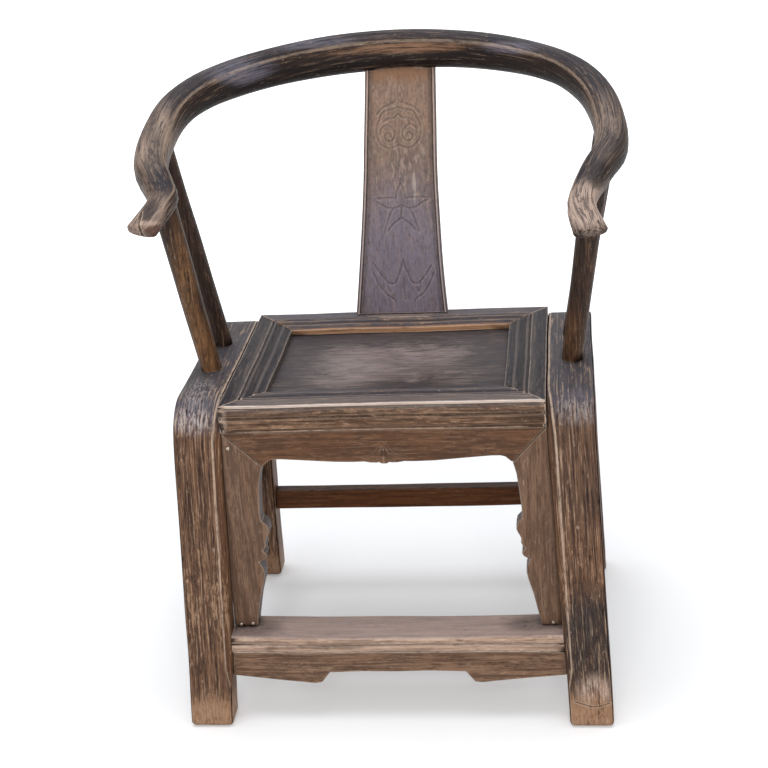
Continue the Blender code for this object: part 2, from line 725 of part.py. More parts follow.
def make_splat():
    foot = SEAT_HEIGHT + FIT
    rings = []
    for step in range(SPLAT_RINGS + 1):
        rise = step / SPLAT_RINGS
        z = foot + (RAIL_CREST - foot) * rise
        y = splat_y(rise)
        left = splat_x(rise) - splat_width(rise) / 2
        right = splat_x(rise) + splat_width(rise) / 2
        front, back = y - SPLAT_THICKNESS / 2, y + SPLAT_THICKNESS / 2
        floor = front + SPLAT_RIM_RELIEF
        rings.append([Vector(point) for point in (
            (left, front, z), (left + SPLAT_RIM, front, z), (left + SPLAT_RIM, floor, z),
            (right - SPLAT_RIM, floor, z), (right - SPLAT_RIM, front, z), (right, front, z),
            (right, back, z), (left, back, z))])
    return loft("back_splat", rings)


def join_splat(splat, rail, seat):
    combine(splat, make_rail("rail_relief", FIT), "DIFFERENCE")
    drop_waste(splat)
    core = SPLAT_THICKNESS / 2 - SPLAT_RIM_RELIEF - FIT
    foot_half = SPLAT_FOOT_WIDTH / 2 - SPLAT_RIM * 2
    foot_low = Vector((-foot_half, SPLAT_FOOT_Y - core, SEAT_HEIGHT - SPLAT_TENON))
    foot_high = Vector((foot_half, SPLAT_FOOT_Y + core, SEAT_HEIGHT + OVERRUN))
    join_with_tenon(splat, (seat["back"],), foot_low, foot_high)
    top_half = SPLAT_TOP_WIDTH / 2 - SPLAT_RIM * 2
    top_z = RAIL_CREST - RAIL_HEIGHT / 2
    rise = (top_z - SEAT_HEIGHT) / (RAIL_CREST - SEAT_HEIGHT)
    top_x = splat_x(rise)
    top_low = Vector((top_x - top_half, splat_y(rise) - core, top_z - OVERRUN * 2))
    top_high = Vector((top_x + top_half, splat_y(rise) + core, top_z + SPLAT_TENON))
    join_with_tenon(splat, (rail,), top_low, top_high)


def drop_waste(piece):
    """Keeps the largest loose part of a cut piece, as a saw cut leaves offcuts."""
    shape = bmesh.new()
    shape.from_mesh(piece.data)
    groups = []
    unseen = set(shape.faces)
    while unseen:
        stack = [unseen.pop()]
        group = []
        while stack:
            face = stack.pop()
            group.append(face)
            for edge in face.edges:
                for other in edge.link_faces:
                    if other in unseen:
                        unseen.remove(other)
                        stack.append(other)
        groups.append(group)
    groups.sort(key=lambda group: -sum(face.calc_area() for face in group))
    waste = [face for group in groups[1:] for face in group]
    bmesh.ops.delete(shape, geom=waste, context="FACES")
    shape.to_mesh(piece.data)
    shape.free()


def turned(name, foot, axis, profile, sides):
    """A round piece along an axis; its profile is a list of distance and radius."""
    across = axis.cross(BACK).normalized()
    beside = axis.cross(across).normalized()
    rings = []
    for distance, radius in profile:
        ring = []
        for i in range(sides):
            angle = 2 * math.pi * i / sides
            spoke = across * math.cos(angle) + beside * math.sin(angle)
            ring.append(foot + axis * distance + spoke * radius)
        rings.append(ring)
    return loft(name, rings)


def make_post(name, side, x, y, station, frame, rail):
    """A round post, scribed to the seat and to the rail, with a round tenon at each end."""
    foot = Vector((side * x, y, SEAT_HEIGHT))
    to_rail = rail_half_course(side)[station] - foot
    sizes = RAIL_LEFT_SIZE_SHARES if side < 0 else RAIL_RIGHT_SIZE_SHARES
    axis = to_rail.normalized()
    radius = POST_DIAMETER / 2
    under_rail = to_rail.length - RAIL_HEIGHT * sizes[station][1] / 2
    end = under_rail + radius * POST_SADDLE_SHARE
    profile = []
    for step in range(POST_RINGS + 1):
        t = step / POST_RINGS
        swell = POST_FOOT_SHARE + (1 - POST_FOOT_SHARE) * math.sin(math.pi / 2 * t)
        profile.append((-POST_DIAMETER + (end + POST_DIAMETER) * t, radius * swell))
    post = turned(name, foot, axis, profile, POST_SIDES)
    floor = SEAT_HEIGHT + FIT
    reach = POST_DIAMETER * 2
    low = Vector((foot.x - reach, foot.y - reach, floor - reach))
    high = Vector((foot.x + reach, foot.y + reach, floor))
    combine(post, block("seat_relief", low, high), "DIFFERENCE")
    combine(post, make_rail("rail_relief", FIT), "DIFFERENCE", crossing=True)
    drop_waste(post)
    tenon_radius = POST_TENON_DIAMETER / 2
    ends = (
        (frame, -POST_TENON_LENGTH, radius),
        (rail, under_rail - radius, under_rail + POST_TOP_TENON_LENGTH),
    )
    for holder, start, stop in ends:
        tenon = turned("tenon", foot, axis, [(start, tenon_radius), (stop, tenon_radius)], POST_SIDES)
        combine(post, tenon, "UNION", crossing=True)
        hole = [(start - FIT, tenon_radius + FIT), (stop + FIT, tenon_radius + FIT)]
        combine(holder, turned("hole", foot, axis, hole, POST_SIDES), "DIFFERENCE")
    return post


# Shape of a nail's head: shares of its height, from the outer tip in, and of its radius
NAIL_HEAD_SHARES = ((1, 0.33), (0.67, 0.80), (0, 1))
# Nails: side, share of the spandrel's width from the leg, and of its height from its top
NAIL_SHARES = {
    "nail_left_outer": (-1, 0.19, 0.987),
    "nail_left_inner": (-1, 0.50, 0.983),
    "nail_right_inner": (1, 0.28, 0.986),
    "nail_left_top": (-1, 0.16, 0.075),
}


def make_nail(name, side, width_share, height_share, spandrel):
    top = SEAT_UNDERSIDE
    z = top - height_share * (top - FOOTREST_TOP)
    x = side * (leg_inside(z) - spandrel_width(side) * width_share)
    face = Vector((x, -apron_face(z), z))
    inward = Vector((0, 1, -APRON_LEAN_SHARE)).normalized()
    head = NAIL_HEAD_DIAMETER / 2
    shank = NAIL_SHANK_DIAMETER / 2
    profile = [(-FIT - NAIL_HEAD_HEIGHT * out, head * size) for out, size in NAIL_HEAD_SHARES]
    profile += [(-FIT, shank), (NAIL_LENGTH - NAIL_SHANK_DIAMETER, shank),
                (NAIL_LENGTH, shank * NAIL_POINT_SHARE)]
    nail = turned(name, face, inward, profile, NAIL_SIDES)
    hole = [(-OVERRUN, shank + FIT), (NAIL_LENGTH + FIT, shank + FIT)]
    combine(spandrel, turned("hole", face, inward, hole, NAIL_SIDES), "DIFFERENCE")
    return nail


def place_on_floor(pieces):
    """Parents the pieces to an empty that puts the middle of their footprint at the origin."""
    corners = [vertex.co for piece in pieces for vertex in piece.data.vertices]
    middle_x = (min(c.x for c in corners) + max(c.x for c in corners)) / 2
    middle_y = (min(c.y for c in corners) + max(c.y for c in corners)) / 2
    floor = min(c.z for c in corners)
    chair = bpy.data.objects.new("chair", None)
    chair.location = (-middle_x, -middle_y, -floor)
    bpy.context.collection.objects.link(chair)
    for piece in pieces:
        piece.parent = chair
    print("middle of the footprint lies behind the seat's middle by", round(middle_y, 5))


def build_chair():
    clear_scene()
    frames = {"left": make_side_frame("left_bent_frame", -1),
              "right": make_side_frame("right_bent_frame", 1)}
    seat = make_seat_frame()
    join_seat_frame(seat, frames)
    panel = make_seat_panel()
    battens = [make_batten("seat_batten_left", -BATTEN_SPACING / 2, seat),
               make_batten("seat_batten_right", BATTEN_SPACING / 2, seat)]
    apron = make_front_apron()
    spandrels = {-1: make_spandrel("front_left_spandrel", -1),
                 1: make_spandrel("front_right_spandrel", 1)}
    stretchers = [make_footrest(frames), make_foot_apron(frames), make_rear_stretcher(frames),
                  make_side_stretcher("left_side_stretcher", -1, frames["left"]),
                  make_side_stretcher("right_side_stretcher", 1, frames["right"])]
    rail = make_rail("horseshoe_rail")
    splat = make_splat()
    join_splat(splat, rail, seat)
    feet = (
        ("front", SEAT_WIDTH / 2 - FRONT_POST_INSET,
         FRONT_POST_SETBACK - SEAT_DEPTH / 2, FRONT_POST_STATION),
        ("rear", SEAT_WIDTH / 2 - REAR_POST_INSET,
         SEAT_DEPTH / 2 - REAR_POST_SETBACK, REAR_POST_STATION),
    )
    posts = []
    for side_name, side in (("left", -1), ("right", 1)):
        for place, x, y, station in feet:
            name = f"{side_name}_{place}_post"
            posts.append(make_post(name, side, x, y, station, frames[side_name], rail))
    nails = [make_nail(name, side, width_share, height_share, spandrels[side])
             for name, (side, width_share, height_share) in NAIL_SHARES.items()]

    round_angle = math.radians(SMOOTH_ANGLE)
    finishes = (
        (list(frames.values()), wood("frame_wood", FRAME_COLOUR), round_angle),
        (list(seat.values()), wood("seat_wood", SEAT_COLOUR), None),
        ([panel], wood("panel_wood", PANEL_COLOUR), None),
        ([apron] + list(spandrels.values()), wood("apron_wood", APRON_COLOUR), None),
        (stretchers + battens, wood("stretcher_wood", STRETCHER_COLOUR), None),
        ([splat], wood("splat_wood", SPLAT_COLOUR), None),
        ([rail] + posts, wood("rail_wood", RAIL_COLOUR), round_angle),
        (nails, wood("nail_iron", IRON_COLOUR, IRON_ROUGHNESS, 1), round_angle),
    )
    pieces = []
    for group, material, angle in finishes:
        for piece in group:
            pieces.append(finish(piece, material, angle))
    place_on_floor(pieces)
    return pieces


build_chair()
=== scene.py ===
# %% [markdown]
# # Dressing an old horseshoe back armchair
# The chair is already built as separate solids: two bent side frames, a panelled seat, aprons,
# stretchers, a splat, four posts and one bent horseshoe rail. This lesson gives those solids the
# softened edges, the carving and the worn finish of a chair that has been used for a long time.
# Nothing is moved. Each new piece starts from the solid that it stands for.

# %% Load the chair as a fixed frame
import math

import bmesh
import bpy
import numpy as np
from mathutils import Matrix, Vector, noise
from mathutils.bvhtree import BVHTree


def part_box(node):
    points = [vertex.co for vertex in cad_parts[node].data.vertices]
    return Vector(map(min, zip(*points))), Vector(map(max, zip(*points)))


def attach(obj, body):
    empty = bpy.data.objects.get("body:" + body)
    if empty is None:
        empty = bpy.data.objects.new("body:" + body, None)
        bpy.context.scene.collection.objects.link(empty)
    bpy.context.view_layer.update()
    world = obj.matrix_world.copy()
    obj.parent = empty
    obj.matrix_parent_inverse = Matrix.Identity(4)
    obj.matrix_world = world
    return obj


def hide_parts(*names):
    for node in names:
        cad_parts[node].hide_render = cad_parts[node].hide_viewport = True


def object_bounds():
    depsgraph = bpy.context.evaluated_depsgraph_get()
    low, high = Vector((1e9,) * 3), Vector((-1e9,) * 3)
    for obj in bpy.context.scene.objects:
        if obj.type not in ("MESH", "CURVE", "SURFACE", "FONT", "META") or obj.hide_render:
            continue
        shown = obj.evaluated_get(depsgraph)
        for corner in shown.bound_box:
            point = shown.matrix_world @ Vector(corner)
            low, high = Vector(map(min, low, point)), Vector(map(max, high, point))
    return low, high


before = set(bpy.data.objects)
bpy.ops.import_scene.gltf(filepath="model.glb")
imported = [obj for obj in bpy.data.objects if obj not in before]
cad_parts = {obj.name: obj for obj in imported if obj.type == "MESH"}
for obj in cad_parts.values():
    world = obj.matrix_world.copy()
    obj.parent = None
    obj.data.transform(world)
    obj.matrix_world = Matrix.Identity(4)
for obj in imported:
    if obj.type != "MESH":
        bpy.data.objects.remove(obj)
cad_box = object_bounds()
print("solids:", len(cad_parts))
print("size in metres:", [round(high - low, 3) for low, high in zip(*cad_box)])

# %% [markdown]
# ## The camera
# The picture looks down on the chair from in front and a little from the right. The place, the
# three turns and the lens come from fitting a pinhole camera to the chair's edges. The three
# turns are kept apart here, because each has a plain meaning: yaw swings the camera round,
# pitch tips it down, and roll tilts the horizon.

# %% Camera
PICTURE_PIXELS = 768
FOCAL_PIXELS = 1567.5
SENSOR_MM = 36
CAMERA_PLACE = Vector((0.2665, -2.1322, 1.3424))
CAMERA_YAW = 7.66
CAMERA_PITCH = -23.12
CAMERA_ROLL = 4.47


def add_object(name, data):
    """Puts an object with the given data into the scene."""
    made = bpy.data.objects.new(name, data)
    bpy.context.scene.collection.objects.link(made)
    return made


lens = bpy.data.cameras.new("chair_camera")
lens.sensor_width = SENSOR_MM
lens.lens = FOCAL_PIXELS * SENSOR_MM / PICTURE_PIXELS
camera = add_object("chair_camera", lens)
turns = (
    Matrix.Rotation(math.radians(CAMERA_YAW), 4, "Z")
    @ Matrix.Rotation(math.radians(CAMERA_PITCH), 4, "X")
    @ Matrix.Rotation(math.radians(CAMERA_ROLL), 4, "Y")
    @ Matrix.Rotation(math.radians(90), 4, "X")
)
camera.matrix_world = Matrix.Translation(CAMERA_PLACE) @ turns
bpy.context.scene.camera = camera
print("lens in mm:", round(lens.lens, 1))

# %% [markdown]
# ## Small helpers for materials
# A Blender material is a graph of nodes. A few helpers keep the graphs short to write. One adds
# a node and fills or links its sockets. Others remap a value between two levels, blend two
# colours, do a sum, or read something from the surface. All that follows is built from these.

# %% Helpers for node graphs
MM = 0.001


def add(tree, kind, sockets=None, **settings):
    """Adds a shader node; a socket is given a number, a colour or another node's output."""
    made = tree.nodes.new("ShaderNode" + kind)
    for name, value in settings.items():
        setattr(made, name, value)
    for name, value in (sockets or {}).items():
        if isinstance(value, bpy.types.NodeSocket):
            tree.links.new(value, made.inputs[name])
        else:
            made.inputs[name].default_value = value
    return made


def level(tree, value, low, high, to_low=0.0, to_high=1.0):
    """Turns a value between two levels into a smooth ramp."""
    sockets = {"Value": value, "From Min": low, "From Max": high, "To Min": to_low, "To Max": to_high}
    return add(tree, "MapRange", sockets, interpolation_type="SMOOTHSTEP").outputs["Result"]


def blend(tree, factor, first, second):
    """Blends two colours by a factor."""
    first, second = (value + (1,) if isinstance(value, tuple) else value for value in (first, second))
    return add(tree, "Mix", {0: factor, 6: first, 7: second}, data_type="RGBA").outputs[2]


def maths(tree, operation, first, second=0.5):
    """One sum on one or two values."""
    return add(tree, "Math", {0: first, 1: second}, operation=operation).outputs[0]


def times(tree, first, second):
    """Multiplies two values."""
    return maths(tree, "MULTIPLY", first, second)


def weighted(tree, values, weights):
    """Adds values, each times its weight."""
    total = 0.0
    for value, weight in zip(values, weights):
        total = add(tree, "Math", {0: value, 1: weight, 2: total}, operation="MULTIPLY_ADD").outputs[0]
    return total


def vectors(tree, operation, first, second=(0, 0, 0)):
    """One sum on one or two vectors; a length or a dot product is a plain value."""
    made = add(tree, "VectorMath", {0: first, 1: second}, operation=operation)
    return made.outputs["Value" if operation in ("LENGTH", "DOT_PRODUCT") else "Vector"]


def surface(tree, what, axis=None):
    """The Position or Normal of the surface, or one part of it along X, Y or Z."""
    found = add(tree, "NewGeometry").outputs[what]
    return add(tree, "SeparateXYZ", {0: found}).outputs[axis] if axis else found


def stored(tree, name, output="Vector"):
    """What the mesh stores under a name at each of its points."""
    return add(tree, "Attribute", attribute_name=name).outputs[output]


def new_material(name):
    """An empty material, its graph and its main shader."""
    material = bpy.data.materials.new(name)
    material.use_nodes = True
    return material, material.node_tree, material.node_tree.nodes["Principled BSDF"]


print("helpers ready")

# %% [markdown]
# ## Floor, background and light
# A studio floor is a plain pale sheet. The camera sees it lifted towards white, more so further
# away, so that the background is white while the chair's shadow stays. The light is soft: a pale
# sky all round and two large lamps, so that colours render about as they are written.

# %% Floor, background and light
FLOOR_HALF = 9.0
FLOOR_CELLS = 4
FLOOR_COLOUR = (0.86, 0.86, 0.86)
FLOOR_LIFT = 0.17
FAR_LIFT = 1.0
LIFT_NEAR, LIFT_FAR = 0.75, 2.4
SKY_COLOUR = (0.93, 0.96, 1.0, 1)
SKY_STRENGTH = 0.55
LAMPS = {
    "top_lamp": ((-0.08, 0.06, 3.0), 2.4, 60, (0.94, 0.96, 1.0)),
    "front_lamp": ((0.2, -3.0, 1.7), 1.8, 46, (1.0, 0.97, 0.93)),
}
LAMP_AIM = Vector((0, 0, 0.45))


def seen_directly(tree):
    """1 for rays from the camera, from a mirror or through glass."""
    path = add(tree, "LightPath")
    direct = maths(tree, "MAXIMUM", path.outputs["Is Camera Ray"], path.outputs["Is Glossy Ray"])
    return maths(tree, "MAXIMUM", direct, path.outputs["Is Transmission Ray"])


def make_sky():
    """A pale sky that lights the chair, and looks white to the camera."""
    world = bpy.data.worlds.new("studio_sky")
    bpy.context.scene.world = world
    world.use_nodes = True
    tree = world.node_tree
    tree.nodes.clear()
    light = add(tree, "Background", {"Color": SKY_COLOUR, "Strength": SKY_STRENGTH})
    white = add(tree, "Background", {"Color": (1, 1, 1, 1), "Strength": 1.0})
    mix = add(tree, "MixShader", {0: seen_directly(tree), 1: light.outputs[0], 2: white.outputs[0]})
    add(tree, "OutputWorld", {"Surface": mix.outputs[0]})


def make_floor():
    """A wide sheet under the chair, lifted towards white the further it lies from the chair."""
    shape = bmesh.new()
    bmesh.ops.create_grid(shape, x_segments=FLOOR_CELLS, y_segments=FLOOR_CELLS, size=FLOOR_HALF)
    mesh = bpy.data.meshes.new("studio_floor")
    shape.to_mesh(mesh)
    shape.free()
    floor = add_object("studio_floor", mesh)
    material, tree, shader = new_material("pale_floor")
    shader.inputs["Base Color"].default_value = FLOOR_COLOUR + (1,)
    shader.inputs["Roughness"].default_value = 1.0
    shader.inputs["Specular IOR Level"].default_value = 0.0
    distance = vectors(tree, "LENGTH", surface(tree, "Position"))
    lift = level(tree, distance, LIFT_NEAR, LIFT_FAR, FLOOR_LIFT, FAR_LIFT)
    glow = add(tree, "Emission", {"Color": (1, 1, 1, 1), "Strength": lift})
    lifted = add(tree, "AddShader", {0: shader.outputs[0], 1: glow.outputs[0]})
    mix = add(tree, "MixShader", {0: seen_directly(tree), 1: shader.outputs[0], 2: lifted.outputs[0]})
    tree.links.new(mix.outputs[0], tree.nodes["Material Output"].inputs["Surface"])
    mesh.materials.append(material)
    return floor


def make_lamp(name, place, size, power, colour):
    """A round, soft lamp that points at the chair."""
    light = bpy.data.lights.new(name, "AREA")
    light.shape = "DISK"
    light.size = size
    light.energy = power
    light.color = colour
    lamp = add_object(name, light)
    lamp.location = place
    lamp.rotation_euler = (LAMP_AIM - Vector(place)).to_track_quat("-Z", "Y").to_euler()
    return lamp


bpy.context.scene.view_settings.view_transform = "Standard"
make_sky()
make_floor()
for lamp_name, lamp_values in LAMPS.items():
    make_lamp(lamp_name, *lamp_values)
print("lamps:", list(LAMPS))

# %% [markdown]
# ## Which way the grain runs
# Old wood shows its age along the grain: streaks, cracks and worn lines all follow it. A bent
# timber takes its grain round the bend, so a pattern laid along one straight axis would look
# wrong. Each piece therefore stores, at every point, three distances: along the grain, across
# it and through it. The straight pieces take them from an axis. The side frames unroll their
# bends from the middle of the top down to both feet. The horseshoe rail is measured along its
# own curve.

# %% Grain of the straight pieces and of the side frames
FRAME_LOW, FRAME_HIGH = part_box("left_bent_frame")
SEAT_HEIGHT = FRAME_HIGH.z
CHAIR_MIDDLE_Y = (FRAME_LOW.y + FRAME_HIGH.y) / 2
FORE_SPLAY_SHARE = 0.108
SIDE_SPLAY_SHARE = 0.037
BEND_RADIUS = 0.058
FRAME_INSIDE = 0.224
EDGE_ROUND = 0.003
LEG_CHAMFER = 0.009
CHAMFER_START, CHAMFER_FULL = 0.062, 0.092
LEAN = math.atan(FORE_SPLAY_SHARE)
SEAT_HALF_DEPTH = (FRAME_HIGH.y - FRAME_LOW.y) / 2 - FORE_SPLAY_SHARE * SEAT_HEIGHT
BEND_Z = SEAT_HEIGHT - BEND_RADIUS
BEND_Y = SEAT_HALF_DEPTH + FORE_SPLAY_SHARE * BEND_RADIUS - BEND_RADIUS / math.cos(LEAN)
BEND_LENGTH = BEND_RADIUS * (math.pi / 2 - LEAN)
TOP_MIDDLE = BEND_LENGTH + BEND_Y
# The middle of the timber's top; shifting it only picks another part of the same pattern
GRAIN_START = TOP_MIDDLE - 1


def grain_along(axis):
    """Grain of a straight piece that runs along X, Y or Z."""
    order = {"X": (0, 1, 2), "Y": (1, 0, 2), "Z": (2, 0, 1)}[axis]
    return lambda place: Vector(place[i] for i in order)


def frame_path(place):
    """How far up a leg, round its bend and on along the seat; how far across; how far in."""
    y = place.y - CHAIR_MIDDLE_Y
    out, rise = abs(y) - BEND_Y, place.z - BEND_Z
    leg_face = SEAT_HALF_DEPTH + FORE_SPLAY_SHARE * (SEAT_HEIGHT - place.z)
    if out > 0 and rise > out * FORE_SPLAY_SHARE:
        along = BEND_RADIUS * (math.atan2(rise, out) - LEAN)
        deep = BEND_RADIUS - math.hypot(out, rise)
    elif out <= 0 and rise > 0:
        along = BEND_LENGTH - out
        deep = SEAT_HEIGHT - place.z
    else:
        along = rise
        deep = leg_face - abs(y)
    width = abs(place.x) - SIDE_SPLAY_SHARE * max(SEAT_HEIGHT - place.z, 0)
    return along, width, deep


def frame_grain(place):
    """Grain of a bent side frame: one timber from the front foot over to the rear foot."""
    along, width, deep = frame_path(place)
    from_middle = math.copysign(TOP_MIDDLE - along, place.y - CHAIR_MIDDLE_Y)
    return Vector((from_middle + GRAIN_START, width, deep))


def frame_ridge(place):
    """Gap across and into the timber from the sharp front edge of a leg's inner chamfer."""
    along, width, deep = frame_path(place)
    turn = min(max(along / BEND_LENGTH, 0), 1)
    rise = min(max((place.z - CHAMFER_START) / (CHAMFER_FULL - CHAMFER_START), 0), 1)
    chamfer = EDGE_ROUND + (LEG_CHAMFER - EDGE_ROUND) * (1 - turn) * rise
    return Vector((width - FRAME_INSIDE - chamfer, deep, 0))


print("seat height:", round(SEAT_HEIGHT, 4), "half depth:", round(SEAT_HALF_DEPTH, 4))

# %% [markdown]
# ## Grain of the rail
# The rail is one bent timber with no straight part. Its middle line runs through the same
# places as the solid's, given as shares of its sizes, and a smooth curve joins them. For any
# point of the rail, the nearest place on that line gives the distance along the grain, and what
# is left over gives the two distances across it.

# %% Grain of the horseshoe rail
RAIL_HALF_SPAN = 0.3205
RAIL_BACK = 0.276
RAIL_HAND = 0.134
RAIL_CREST = 0.872
RAIL_HAND_HEIGHT = 0.719
RAIL_STEPS = 8
RAIL_RADIUS = 0.026
RIDGE_ANGLE = math.radians(52)
RAIL_LEFT_SHARES = (
    (0.000, 1.000, 1.000), (0.187, 0.987, 0.993), (0.371, 0.946, 0.977), (0.548, 0.880, 0.954),
    (0.706, 0.790, 0.917), (0.840, 0.678, 0.862), (0.940, 0.549, 0.756), (0.988, 0.415, 0.588),
    (0.990, 0.283, 0.412), (0.926, 0.176, 0.281), (0.898, 0.112, 0.228), (0.966, 0.004, 0.055),
)
RAIL_RIGHT_SHARES = (
    (0.000, 1.000, 1.000), (0.187, 0.987, 0.996), (0.374, 0.946, 0.984), (0.549, 0.880, 0.960),
    (0.706, 0.790, 0.927), (0.838, 0.678, 0.869), (0.935, 0.549, 0.752), (0.989, 0.415, 0.588),
    (0.997, 0.283, 0.412), (0.932, 0.176, 0.281), (0.868, 0.058, 0.098), (0.900, -0.044, -0.065),
)


def smooth_curve(points, steps):
    """Points along a smooth curve through the given points."""
    padded = [2 * points[0] - points[1]] + list(points) + [2 * points[-1] - points[-2]]
    curve = []
    for i in range(1, len(padded) - 2):
        a, b, c, d = padded[i - 1:i + 3]
        for step in range(steps):
            t = step / steps
            curve.append((2 * b + (c - a) * t + (2 * a - 5 * b + 4 * c - d) * t ** 2
                          + (3 * b - a - 3 * c + d) * t ** 3) / 2)
    curve.append(points[-1].copy())
    return curve


def rail_half(side, shares):
    """Places on the rail's middle line from the crest to one hand."""
    return [Vector((side * RAIL_HALF_SPAN * x,
                    CHAIR_MIDDLE_Y - RAIL_HAND + (RAIL_BACK + RAIL_HAND) * y,
                    RAIL_HAND_HEIGHT + (RAIL_CREST - RAIL_HAND_HEIGHT) * z)) for x, y, z in shares]


RAIL_LINE = smooth_curve(list(reversed(rail_half(-1, RAIL_LEFT_SHARES)[1:]))
                         + rail_half(1, RAIL_RIGHT_SHARES), RAIL_STEPS)
RAIL_LENGTHS = [0.0]
for here, there in zip(RAIL_LINE, RAIL_LINE[1:]):
    RAIL_LENGTHS.append(RAIL_LENGTHS[-1] + (there - here).length)


def rail_grain(place):
    """Distance along the rail, then from its middle line towards the sitter, then upwards."""
    nearest = min(range(len(RAIL_LINE)), key=lambda i: (RAIL_LINE[i] - place).length_squared)
    ahead = RAIL_LINE[min(nearest + 1, len(RAIL_LINE) - 1)] - RAIL_LINE[max(nearest - 1, 0)]
    ahead.normalize()
    inward = ahead.cross(Vector((0, 0, 1))).normalized()
    upward = inward.cross(ahead)
    gap = place - RAIL_LINE[nearest]
    return Vector((RAIL_LENGTHS[nearest] + gap.dot(ahead), gap.dot(inward), gap.dot(upward)))


def rail_ridge(place):
    """Gap round the rail from the line where its top turns into its inner side."""
    grain = rail_grain(place)
    return Vector(((math.atan2(grain.y, grain.z) - RIDGE_ANGLE) * RAIL_RADIUS, 0, 0))


print("length of the rail:", round(RAIL_LENGTHS[-1], 3))

# %% [markdown]
# ## Worn copies of the solids
# A solid straight from the saw has dead sharp edges and dead straight lines. On the real chair
# hands, sleeves and feet have rounded every edge, and no line is quite straight any more. Each
# worn piece starts as a copy of its solid. Its flat faces are put back together, and sharp edges
# are rounded with a bevel. Long pieces are sliced into short lengths. Then all points are nudged
# by one gentle noise that the whole chair shares, so that neighbours stay as far apart as before.

# %% Tools that wear a solid down
WELD = 0.00002
FLAT_ANGLE = math.radians(1)
SHARP_ANGLE = math.radians(28)
SMOOTH_ANGLE = math.radians(38)
SLICE = 0.018
WOBBLE = 0.0011
WOBBLE_LENGTH = 0.11
FLOOR_REACH = 0.02
MOULDING_REACH = 0.012
HOLLOW_DIRT = 0.75
RIDGE_WEAR = -0.36
END_MARGIN = 0.004
GRAIN_SHIFTS = (1, 0.37, 0.61)
NO_RIDGE = (1, 1, 1)


def copied_shape(node_name):
    """The solid's mesh with its split corners joined and its flat faces put together."""
    shape = bmesh.new()
    shape.from_mesh(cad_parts[node_name].data)
    bmesh.ops.remove_doubles(shape, verts=shape.verts, dist=WELD)
    bmesh.ops.dissolve_limit(shape, angle_limit=FLAT_ANGLE, verts=shape.verts, edges=shape.edges)
    return shape


def carved_layer(shape):
    """The layer that says how dirty, or below zero how rubbed, each point is."""
    return shape.verts.layers.float.get("carved") or shape.verts.layers.float.new("carved")


def soften_edges(shape, radius, rounds, rub=0):
    """Rounds every sharp edge, and marks the middle of each rounding as rubbed."""
    layer = carved_layer(shape)
    sharp = [edge for edge in shape.edges
             if len(edge.link_faces) == 2 and edge.calc_face_angle() > SHARP_ANGLE]
    made = bmesh.ops.bevel(shape, geom=sharp, offset=radius, segments=rounds, profile=0.5,
                           affect="EDGES", clamp_overlap=False)
    rounding = set(made["faces"])
    for vertex in made["verts"]:
        vertex[layer] = -rub if rounding.issuperset(vertex.link_faces) else 0


def cut_across(shape, axis, places):
    """Adds a ring of points wherever a plane across the axis meets the shape."""
    normal = Vector((0, 0, 0))
    normal[axis] = 1
    for place in places:
        geometry = shape.verts[:] + shape.edges[:] + shape.faces[:]
        bmesh.ops.bisect_plane(shape, geom=geometry, dist=WELD, plane_co=normal * place, plane_no=normal)


def slice_shape(shape, axis):
    """Cuts the piece into short lengths so that it can be nudged."""
    places = [vertex.co[axis] for vertex in shape.verts]
    low, high = min(places), max(places)
    count = int((high - low) / SLICE)
    cut_across(shape, axis, [low + (high - low) * cut / count for cut in range(1, count)])


def nudged(place):
    """A point after the gentle shift of age, kept inside the solids' box, soles flat on the floor."""
    shift = noise.noise_vector(place / WOBBLE_LENGTH) * WOBBLE
    moved = place + shift * min(max(place.z / FLOOR_REACH, 0), 1)
    low, high = cad_box
    return Vector(min(max(value, least), most) for value, least, most in zip(moved, low, high))


def mark_hollows(shape):
    """Marks the dirt that gathers in the hollows of a moulding, and the wear along its ridges."""
    shape.normal_update()
    layer = carved_layer(shape)
    spans = [[vertex.co[axis] for vertex in shape.verts] for axis in range(3)]
    axis = max(range(3), key=lambda axis: max(spans[axis]) - min(spans[axis]))
    low, high = min(spans[axis]) + END_MARGIN, max(spans[axis]) - END_MARGIN
    for vertex in shape.verts:
        if not low < vertex.co[axis] < high:
            continue
        rise = 0
        for edge in vertex.link_edges:
            gap = edge.other_vert(vertex).co - vertex.co
            rise += vertex.normal.dot(gap.normalized()) if gap.length < MOULDING_REACH else 0
        vertex[layer] = min(max(rise * HOLLOW_DIRT, RIDGE_WEAR), 1)


def store_grain(shape, grain, offset, ridge=None):
    """Stores the grain, shifted so that no two pieces match, and the gap from a worn ridge."""
    grain_layer = shape.verts.layers.float_vector.new("grain")
    ridge_layer = shape.verts.layers.float_vector.new("ridge")
    for vertex in shape.verts:
        vertex[grain_layer] = grain(vertex.co) + Vector([offset * shift for shift in GRAIN_SHIFTS])
        vertex[ridge_layer] = ridge(vertex.co) if ridge else Vector(NO_RIDGE)


def finish_piece(shape, node_name, material):
    """Makes the piece from its shape, smooths it and hands it to the frame."""
    for vertex in shape.verts:
        vertex.co = nudged(vertex.co)
    mesh = bpy.data.meshes.new("worn_" + node_name)
    shape.to_mesh(mesh)
    shape.free()
    mesh.shade_smooth()
    mesh.set_sharp_from_angle(angle=SMOOTH_ANGLE)
    piece = add_object("worn_" + node_name, mesh)
    piece.modifiers.new("Even shading", "WEIGHTED_NORMAL").keep_sharp = True
    mesh.materials.append(material)
    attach(piece, "root")
    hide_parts(node_name)
    return piece


